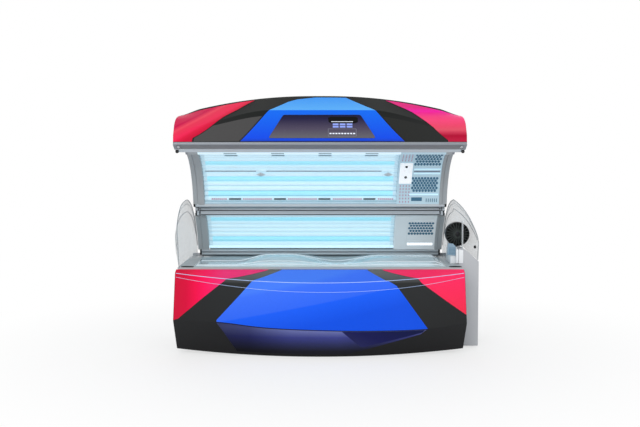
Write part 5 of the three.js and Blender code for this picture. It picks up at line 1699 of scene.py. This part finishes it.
@dataclass
class Shields:
    """Clear shields at both ends, with bright edges. A station is y, foot, top, x at both, bulge."""

    left: Sequence[Sequence[float]] = (
        (32, 672.3, 700, 1096, 1097, 0), (60, 672.3, 830, 1098, 1106, 10),
        (150, 672.3, 950, 1100, 1126, 24), (250, 672.3, 1040, 1100, 1132, 24),
        (400, 672.3, 1130, 1098, 1128, 14), (550, 672.3, 1168, 1092, 1105, 5),
        (620, 672.3, 1146, 1080, 1088, 0), (680, 672.3, 1085, 1068, 1072, 0),
        (740, 672.3, 950, 1054, 1056, 0), (778, 672.3, 770, 1046, 1046, 0),
    )
    right: Sequence[Sequence[float]] = (
        (256, 702.9, 760, 1262, 1263, 0), (290, 702.9, 872, 1262, 1268, 4),
        (380, 738.2, 1000, 1222, 1228, 6), (450, 784.9, 1085, 1178, 1184, 4),
        (510, 803.3, 1135, 1142, 1146, 0), (560, 805.3, 1168, 1102, 1110, 0),
        (575, 672.6, 1166, 1097, 1103, 0), (620, 672.6, 1146, 1080, 1088, 0),
        (680, 672.6, 1085, 1068, 1072, 0), (740, 672.6, 950, 1054, 1056, 0),
        (778, 672.6, 770, 1046, 1046, 0),
    )
    steps: int = 5
    thick: float = 4
    edge_radius: float = 3.4
    contour_radius: float = 2.6
    knob: Edge = ((AXIS, 0), (12, 0), (13, 3), (11, 9), (AXIS, 10.5))
    knob_at: Size = (1250, 322, 802)
    knob_facing: Size = (-0.914, -0.406, 0)
    rib: Edge = ((262, 793.2), (322, 793.2), (322, 1000), (300, 1022), (280, 1022), (262, 1000))
    rib_ends: Span = (1138, 1142)

    def build(self) -> None:
        """Builds both shields, and the knob and rib of the right one."""
        piece = Workshop.piece
        for side, sign, knots in (("left", -1, self.left), ("right", 1, self.right)):
            stations = spline(knots, self.steps)
            for i, station in enumerate(stations):
                k, part = divmod(i, self.steps)
                low, high = knots[k], knots[min(k + 1, len(knots) - 1)]
                station[1] = lerp(low[1], high[1], part / self.steps)
            grids = [
                [[self.point(s, v, sign, inset) for v in spread(0, 1, 20)] for s in stations]
                for inset in (0.0, self.thick)
            ]
            piece(f"shield_{side}", Workshop.sheet(*grids), SHIELD, replaces=[f"end_shield_{side}"])
            rim = [self.point(stations[0], k / 8, sign, self.thick / 2) for k in range(8)]
            rim += [self.point(s, 1.0, sign, self.thick / 2) for s in stations]
            piece(f"shield_edge_{side}", Workshop.tube(rim, self.edge_radius), SHIELD_EDGE)
            # Two inner lines along each shield: the near-white one is a painted highlight, the grey one
            # uses the edge finish.
            for i, (v, finish) in enumerate(((0.93, SHIELD_GLINT), (0.8, SHIELD_EDGE))):
                inner = [self.point(s, v, sign, 1.0) for s in stations[6:-4]]
                piece(f"shield_contour_{side}_{i}", Workshop.tube(inner, self.contour_radius), finish)
        knob = Workshop.lathe(self.knob, place(*self.knob_at), Vector(self.knob_facing), 24)
        piece("shield_knob", knob, BLACK)
        # The rib is a thin clear upright drawn near-white, as painted highlight of the bright line beside
        # the fan.
        piece("shield_rib", Workshop.along_bed(*self.rib_ends, self.rib), SHIELD_GLINT)

    @staticmethod
    def point(station: Sequence[float], v: float, sign: int, inset: float) -> Vector:
        """Point of a shield.

        Args:
            station: its outline at one depth.
            v: share of the height there.
            sign: end of the bed, -1 for the left.
            inset: how far it lies in from the outer face.
        Returns:
            The point in metres.
        """
        y, foot, top, x_foot, x_top, bulge = station
        x = lerp(x_foot, x_top, v) + bulge * 4 * v * (1 - v)
        return place(sign * (x - inset), y, lerp(foot, top, v))


@dataclass
class HeadEnd:
    """Climate unit, console and fan at the head end."""

    box: Edge = ((1104.3, 12), (1268, 12), (1268, 692), (1158, 789), (1104.3, 800))
    box_depth: Span = (250, 930)
    wing: Edge = ((56, 66), (251, 66), (251, 672), (56, 672))
    wing_ends: Span = (1104.3, 1110.3)
    louvre_at: Span = (1268.4, 600)
    louvre_rows: tuple[int, int, int] = (150, 420, 18)
    louvre_size: Size = (420, 8, 3)
    console: Edge = ((270, 672.3), (540, 672.3), (540, 720), (500, 801), (300, 801), (270, 770))
    console_ends: Span = (1043, 1104)
    pod: Edge = ((1016, 744), (1084, 738), (1084, 812), (1062, 834), (1022, 838))
    pod_depth: Span = (269.8, 255.8)
    pod_hole: Size = (3.4, 3.4, 1.2)
    pod_hole_x: Span = (1034, 1074)
    pod_hole_z: Span = (756, 800)
    pod_hole_y: float = 255.6
    front: Edge = ((1106, 680), (1142, 680), (1142, 782), (1106, 790))
    front_depth: Span = (249.8, 244.8)
    nose: Edge = ((1085, 678), (1104, 678), (1104, 788), (1085, 792))
    nose_depth: Span = (269.9, 248.9)
    fan_at: Size = (1108, 330, 904)
    fan_radius: float = 96
    fan_long: float = 84
    fan_wall: float = 6
    fan_ribs: int = 22
    rib_size: Size = (74, 6.4, 5)
    rib_middle: float = 55
    rings: tuple[float, ...] = (42, 68)
    ring_radius: float = 2.2
    hub: Edge = ((AXIS, -4), (12, -4), (19, 0), (20, 6), (AXIS, 7))
    foot: Edge = ((1048, 801.3), (1100, 801.3), (1096, 826), (1052, 826))
    foot_depth: Span = (344, 414)

    def build(self) -> None:
        """Builds the head end."""
        piece = Workshop.piece
        box = Workshop.across_bed(*self.box_depth, self.box)
        piece("climate_box", box, UNIT, replaces=["climate_unit"], bevel=6)
        piece("climate_wing", Workshop.along_bed(*self.wing_ends, self.wing), UNIT, bevel=1.5)
        slats = [Spot(place(*self.louvre_at, z), LONG, INTO) for z in range(*self.louvre_rows)]
        Repeater(Stamp.BLOCK, self.louvre_size).build("climate_louvres", slats, SLOT)
        console = Workshop.along_bed(*self.console_ends, self.console)
        piece("console", console, WHITE, replaces=["head_console"], bevel=4)
        piece("console_pod", Workshop.across_bed(*self.pod_depth, self.pod), POD, bevel=4)
        across, up = spread(*self.pod_hole_x, 4), spread(*self.pod_hole_z, 4)
        holes = [Spot(place(x, self.pod_hole_y, z), FRONT) for x in across for z in up]
        Repeater(Stamp.PRISM, self.pod_hole).build("console_pod_holes", holes, GRILLE)
        piece("console_front", Workshop.across_bed(*self.front_depth, self.front), WHITE, bevel=1.5)
        piece("console_nose", Workshop.across_bed(*self.nose_depth, self.nose), WHITE, bevel=1.5)
        self._fan()

    def _fan(self) -> None:
        """Builds the fan's ribbed drum, its hub, rings and foot."""
        piece = Workshop.piece
        r, long, wall = self.fan_radius, self.fan_long, self.fan_wall
        centre = place(*self.fan_at)
        inner = [(AXIS, long - wall), (r - wall - 3, long - wall), (r - wall, long - 12), (r - wall, 1)]
        outer = [(r - 3, 0), (r, 4), (r, long - 10), (r - 8, long), (AXIS, long)]
        piece("fan_drum", Workshop.lathe(inner + outer, centre, INTO, 56), BLACK, replaces=["fan_cowl"])
        spokes = [self._ray(2 * math.pi * i / self.fan_ribs) for i in range(self.fan_ribs)]
        ribs = [Spot(centre + (ray * self.rib_middle + INTO * 4) * MM, FRONT, ray) for ray in spokes]
        Repeater(Stamp.BLOCK, self.rib_size).build("fan_ribs", ribs, FAN_RIB_SHEEN)
        piece("fan_hub", Workshop.lathe(self.hub, centre, INTO), BLACK)
        for i, ring in enumerate(self.rings):
            loop = [centre + (self._ray(2 * math.pi * k / 48) * ring + INTO * 3) * MM for k in range(49)]
            piece(f"fan_ring_{i}", Workshop.tube(loop, self.ring_radius), BLACK)
        piece("fan_foot", Workshop.across_bed(*self.foot_depth, self.foot), BLACK, bevel=2)

    @staticmethod
    def _ray(angle: float) -> Vector:
        """Direction across the fan's face."""
        return Vector((math.cos(angle), 0, math.sin(angle)))


@dataclass
class Shell:
    """Roof of the canopy and the rear and left closures of the base.

    A row of the roof gives half width, forward and up at the bed's middle, and then at its ends.
    """

    roof: Sequence[Sequence[float]] = (
        (1078, 758, 524, 1078, 686, 368), (1062, 560, 580, 1062, 500, 424),
        (1046, 300, 500, 1046, 280, 362), (1044, 60, 300, 1044, 40, 220), (1044, -62, 112, 1044, -56, 104),
    )
    roof_steps: int = 8
    roof_thick: float = 7
    roof_lean: float = 0.43
    roof_tuck: Size = (0, 13, 7)
    roof_slat: Size = (360, 12, 3)
    roof_slat_rows: tuple[int, int] = (19, 27)
    wall: Edge = ((-1104, 60), (1104, 60), (1104, 690), (-1104, 690))
    wall_depth: Span = (915.3, 925.3)
    ledge: Edge = ((876, 684), (920, 684), (920, 690), (876, 690))
    ledge_half: float = 942
    spine: Edge = ((640, 1086), (720, 1040), (808, 945), (872, 810), (900, 690.3))
    shell_half: float = 950
    shell_thick: Span = (5, 3)
    left: Edge = ((52, 66), (915, 66), (915, 655.7), (52, 655.7))
    left_ends: Span = (-1104, -1092)
    rear_face: float = 925.6
    rear_slat: Size = (500, 9, 3)
    rear_slat_x: Span = (-520, 520)
    rear_slat_rows: tuple[int, int, int] = (180, 420, 20)
    left_slat: Size = (400, 9, 3)
    left_slat_at: Span = (-1104.4, 520)
    left_slat_rows: tuple[int, int, int] = (180, 400, 20)
    screw: Size = (9, 9, 3)
    screw_x: tuple[float, ...] = (-1060, -530, 0, 530, 1060)
    screw_z: Span = (90, 660)

    def build(self) -> None:
        """Builds the closures."""
        self._roof()
        self._rear()

    def roof_point(self, t: float, row: Sequence[float], drop: float = 0.0) -> Vector:
        """Point of the roof.

        Args:
            t: place across the bed.
            row: a row of the roof, and its share of the front's upper edge.
            drop: how far it lies under the outer face.
        Returns:
            The point in metres.
        """
        half, u, w = (lerp(a, b, t * t) for a, b in zip(row[:3], row[3:6]))
        edge = CANOPY_SKIN.raw(t, 2.0) - Vector(self.roof_tuck)
        x, u, w = (lerp(a, b, row[6]) for a, b in zip((half * t, u, w), edge))
        return place_level(x, u - self.roof_lean * drop, w - drop)

    def _roof(self) -> None:
        """Builds the roof and its louvres."""
        curve = spline(self.roof, self.roof_steps)
        rows = [row + [max(0.0, 1 - k / self.roof_steps) ** 2] for k, row in enumerate(curve)]
        ts = spread(-1, 1, 80)
        drops = (0.0, self.roof_thick)
        grids = [[[self.roof_point(t, r, drop) for t in ts] for r in rows] for drop in drops]
        Workshop.piece("roof_shell", Workshop.sheet(*grids), DARK_LIT_TOP, Body.CANOPY, ["canopy_roof"])
        spots = []
        for k in range(*self.roof_slat_rows):
            for t in (-0.5, 0.5):
                at = self.roof_point(t, rows[k])
                down = self.roof_point(t, rows[k + 1]) - at
                across = self.roof_point(t + 0.01, rows[k]) - at
                facing = across.cross(down).normalized()
                facing = facing if facing.z > 0 else -facing
                spots.append(Spot(at + facing * (1.2 * MM), facing, across.normalized()))
        Repeater(Stamp.BLOCK, self.roof_slat).build("roof_louvres", spots, SLOT, Body.CANOPY)

    def _rear(self) -> None:
        """Builds the rear panel, rear shell and left end panel with louvres and screws."""
        piece = Workshop.piece
        wall = Workshop.across_bed(*self.wall_depth, self.wall)
        piece("rear_wall", wall, UNIT, replaces=["base_rear_panel"], bevel=2)
        piece("rear_ledge", Workshop.along_bed(-self.ledge_half, self.ledge_half, self.ledge), UNIT)
        spine = spline(self.spine, 8)
        cols = spread(-self.shell_half, self.shell_half, 16)
        back, lift = self.shell_thick
        seat = spine[-1][1] + 0.7
        inner = [[place(x, y, z) for x in cols] for y, z in spine]
        outer = [[place(x, y + back, z + (lift if z > seat else 0)) for x in cols] for y, z in spine]
        piece("rear_shell", Workshop.sheet(outer, inner), UNIT, replaces=["side_rear_shell"])
        face, rows = self.rear_face, range(*self.rear_slat_rows)
        slats = [Spot(place(x, face, z), INTO) for x in self.rear_slat_x for z in rows]
        Repeater(Stamp.BLOCK, self.rear_slat).build("rear_louvres", slats, SLOT)
        screws = [Spot(place(x, face, z), INTO) for x in self.screw_x for z in self.screw_z]
        Repeater(Stamp.PRISM, self.screw, 16).build("rear_screws", screws, CHROME)
        left = Workshop.along_bed(*self.left_ends, self.left)
        piece("left_wall", left, UNIT, replaces=["base_end_panel_left"], bevel=3)
        slats = [Spot(place(*self.left_slat_at, z), -LONG, INTO) for z in range(*self.left_slat_rows)]
        Repeater(Stamp.BLOCK, self.left_slat).build("left_louvres", slats, SLOT)


@dataclass
class Studio:
    """Pale floor, soft light and the camera of the picture. Lengths are in metres."""

    lens: float = 53.83
    sensor: float = 36.0
    pitch: float = 3.796
    eye: Size = (-0.06344, -7.70262, 1.58)
    aim: Size = (0, 0, 0.9)
    soft_colour: tuple[float, float, float, float] = (0.97, 0.985, 1.0, 1.0)
    soft_strength: float = 0.72
    floor_half: float = 40.0
    floor_drop: float = 0.001
    floor_shade: float = 0.9
    floor_rough: float = 0.7
    floor_fade: Span = (1.2, 3.4)
    floor_white: float = 0.66

    def build(self) -> None:
        """Builds the studio."""
        scene = bpy.context.scene
        scene.view_settings.view_transform = "Standard"
        data = bpy.data.cameras.new("picture_camera")
        data.lens, data.sensor_width = self.lens, self.sensor
        camera = bpy.data.objects.new("picture_camera", data)
        camera.location = self.eye
        camera.rotation_euler = (math.radians(90 - self.pitch), 0, 0)
        scene.collection.objects.link(camera)
        scene.camera = camera
        self._world(scene)
        self._floor(scene)
        for name, at, size, power in (
            ("key", (-2.6, -7.0, 4.6), 4.0, 150.0), ("fill", (4.6, -6.0, 3.0), 3.6, 70.0),
            ("rear", (0.0, 5.5, 4.0), 4.0, 70.0),
        ):
            lamp = bpy.data.lights.new(name, "AREA")
            lamp.energy, lamp.size = power, size
            source = bpy.data.objects.new(name, lamp)
            source.location = at
            source.rotation_euler = (Vector(self.aim) - Vector(at)).to_track_quat("-Z", "Y").to_euler()
            scene.collection.objects.link(source)

    def _world(self, scene: bpy.types.Scene) -> None:
        """Makes the world white to the camera and in gloss, and plain soft light otherwise.

        Args:
            scene: the scene that it lights.
        """
        world = bpy.data.worlds.new("studio_world")
        scene.world = world
        world.use_nodes = True
        tree = world.node_tree
        tree.nodes.clear()
        new = tree.nodes.new
        path = new("ShaderNodeLightPath").outputs
        soft = fill(new("ShaderNodeBackground"), {
            "Color": self.soft_colour, "Strength": self.soft_strength,
        })
        white = fill(new("ShaderNodeBackground"), {"Color": (1.0, 1.0, 1.0, 1.0)})
        seen = path["Is Camera Ray"]
        for ray in ("Is Transmission Ray", "Is Glossy Ray"):
            either = new("ShaderNodeMath")
            either.operation = "MAXIMUM"
            seen = fill(either, {0: seen, 1: path[ray]}).outputs[0]
        mix = fill(new("ShaderNodeMixShader"), {0: seen, 1: soft.outputs[0], 2: white.outputs[0]})
        fill(new("ShaderNodeOutputWorld"), {"Surface": mix.outputs[0]})

    def _floor(self, scene: bpy.types.Scene) -> None:
        """Makes a pale floor that keeps the shadow near the bed and turns white further off.

        Args:
            scene: the scene that it lies in.
        """
        mesh = bpy.data.meshes.new("floor")
        r = self.floor_half
        mesh.from_pydata([(-r, -r, 0), (r, -r, 0), (r, r, 0), (-r, r, 0)], [], [[0, 1, 2, 3]])
        floor = bpy.data.objects.new("floor", mesh)
        floor.location.z = -self.floor_drop
        scene.collection.objects.link(floor)
        made = bpy.data.materials.new("pale_floor")
        made.use_nodes = True
        tree = made.node_tree
        new = tree.nodes.new
        shader = fill(tree.nodes["Principled BSDF"], {
            "Base Color": (*[self.floor_shade] * 3, 1.0), "Roughness": self.floor_rough,
        })
        length = new("ShaderNodeVectorMath")
        length.operation = "LENGTH"
        fill(length, {0: new("ShaderNodeTexCoord").outputs["Object"]})
        start, end = self.floor_fade
        far = new("ShaderNodeMapRange")
        far.interpolation_type = "SMOOTHSTEP"
        fill(far, {
            "Value": length.outputs["Value"],
            "From Min": start, "From Max": end, "To Min": self.floor_white,
        })
        seen = new("ShaderNodeMath")
        seen.operation = "MULTIPLY"
        fill(seen, {0: new("ShaderNodeLightPath").outputs["Is Camera Ray"], 1: far.outputs["Result"]})
        layers = (seen, shader, new("ShaderNodeEmission"))
        mix = fill(new("ShaderNodeMixShader"), {i: node.outputs[0] for i, node in enumerate(layers)})
        fill(tree.nodes["Material Output"], {"Surface": mix.outputs[0]})
        mesh.materials.append(made)


def dress_frame() -> None:
    """Gives every CAD node that still shows its finish."""
    finishes = {f.slot: f for f in (STEEL, ALLOY, RUBBER, REFLECTOR_GLOW, BLACK, ENAMEL, CHROME)}
    for part in frame["record"]["subparts"]:
        node = frame["nodes"][part["node"]]
        finish = finishes.get(part["material_slot"])
        if finish and not node.hide_render:
            node.data.materials.clear()
            node.data.materials.append(finish.material())


def main() -> None:
    """Builds the bed from its sub-assemblies, then the studio."""
    logging.basicConfig(level=logging.INFO, format="%(message)s")
    for part in (
        BaseFront(), CanopyFront(), Lamps(), Tunnel(), FaceTanner(), Speaker(), Profiles(), PaneLocks(),
        Bench(), Shields(), HeadEnd(), Shell(), Studio(),
    ):
        part.build()
        LOG.info("%s done", type(part).__name__)
    dress_frame()


if __name__ == "__main__":
    main()
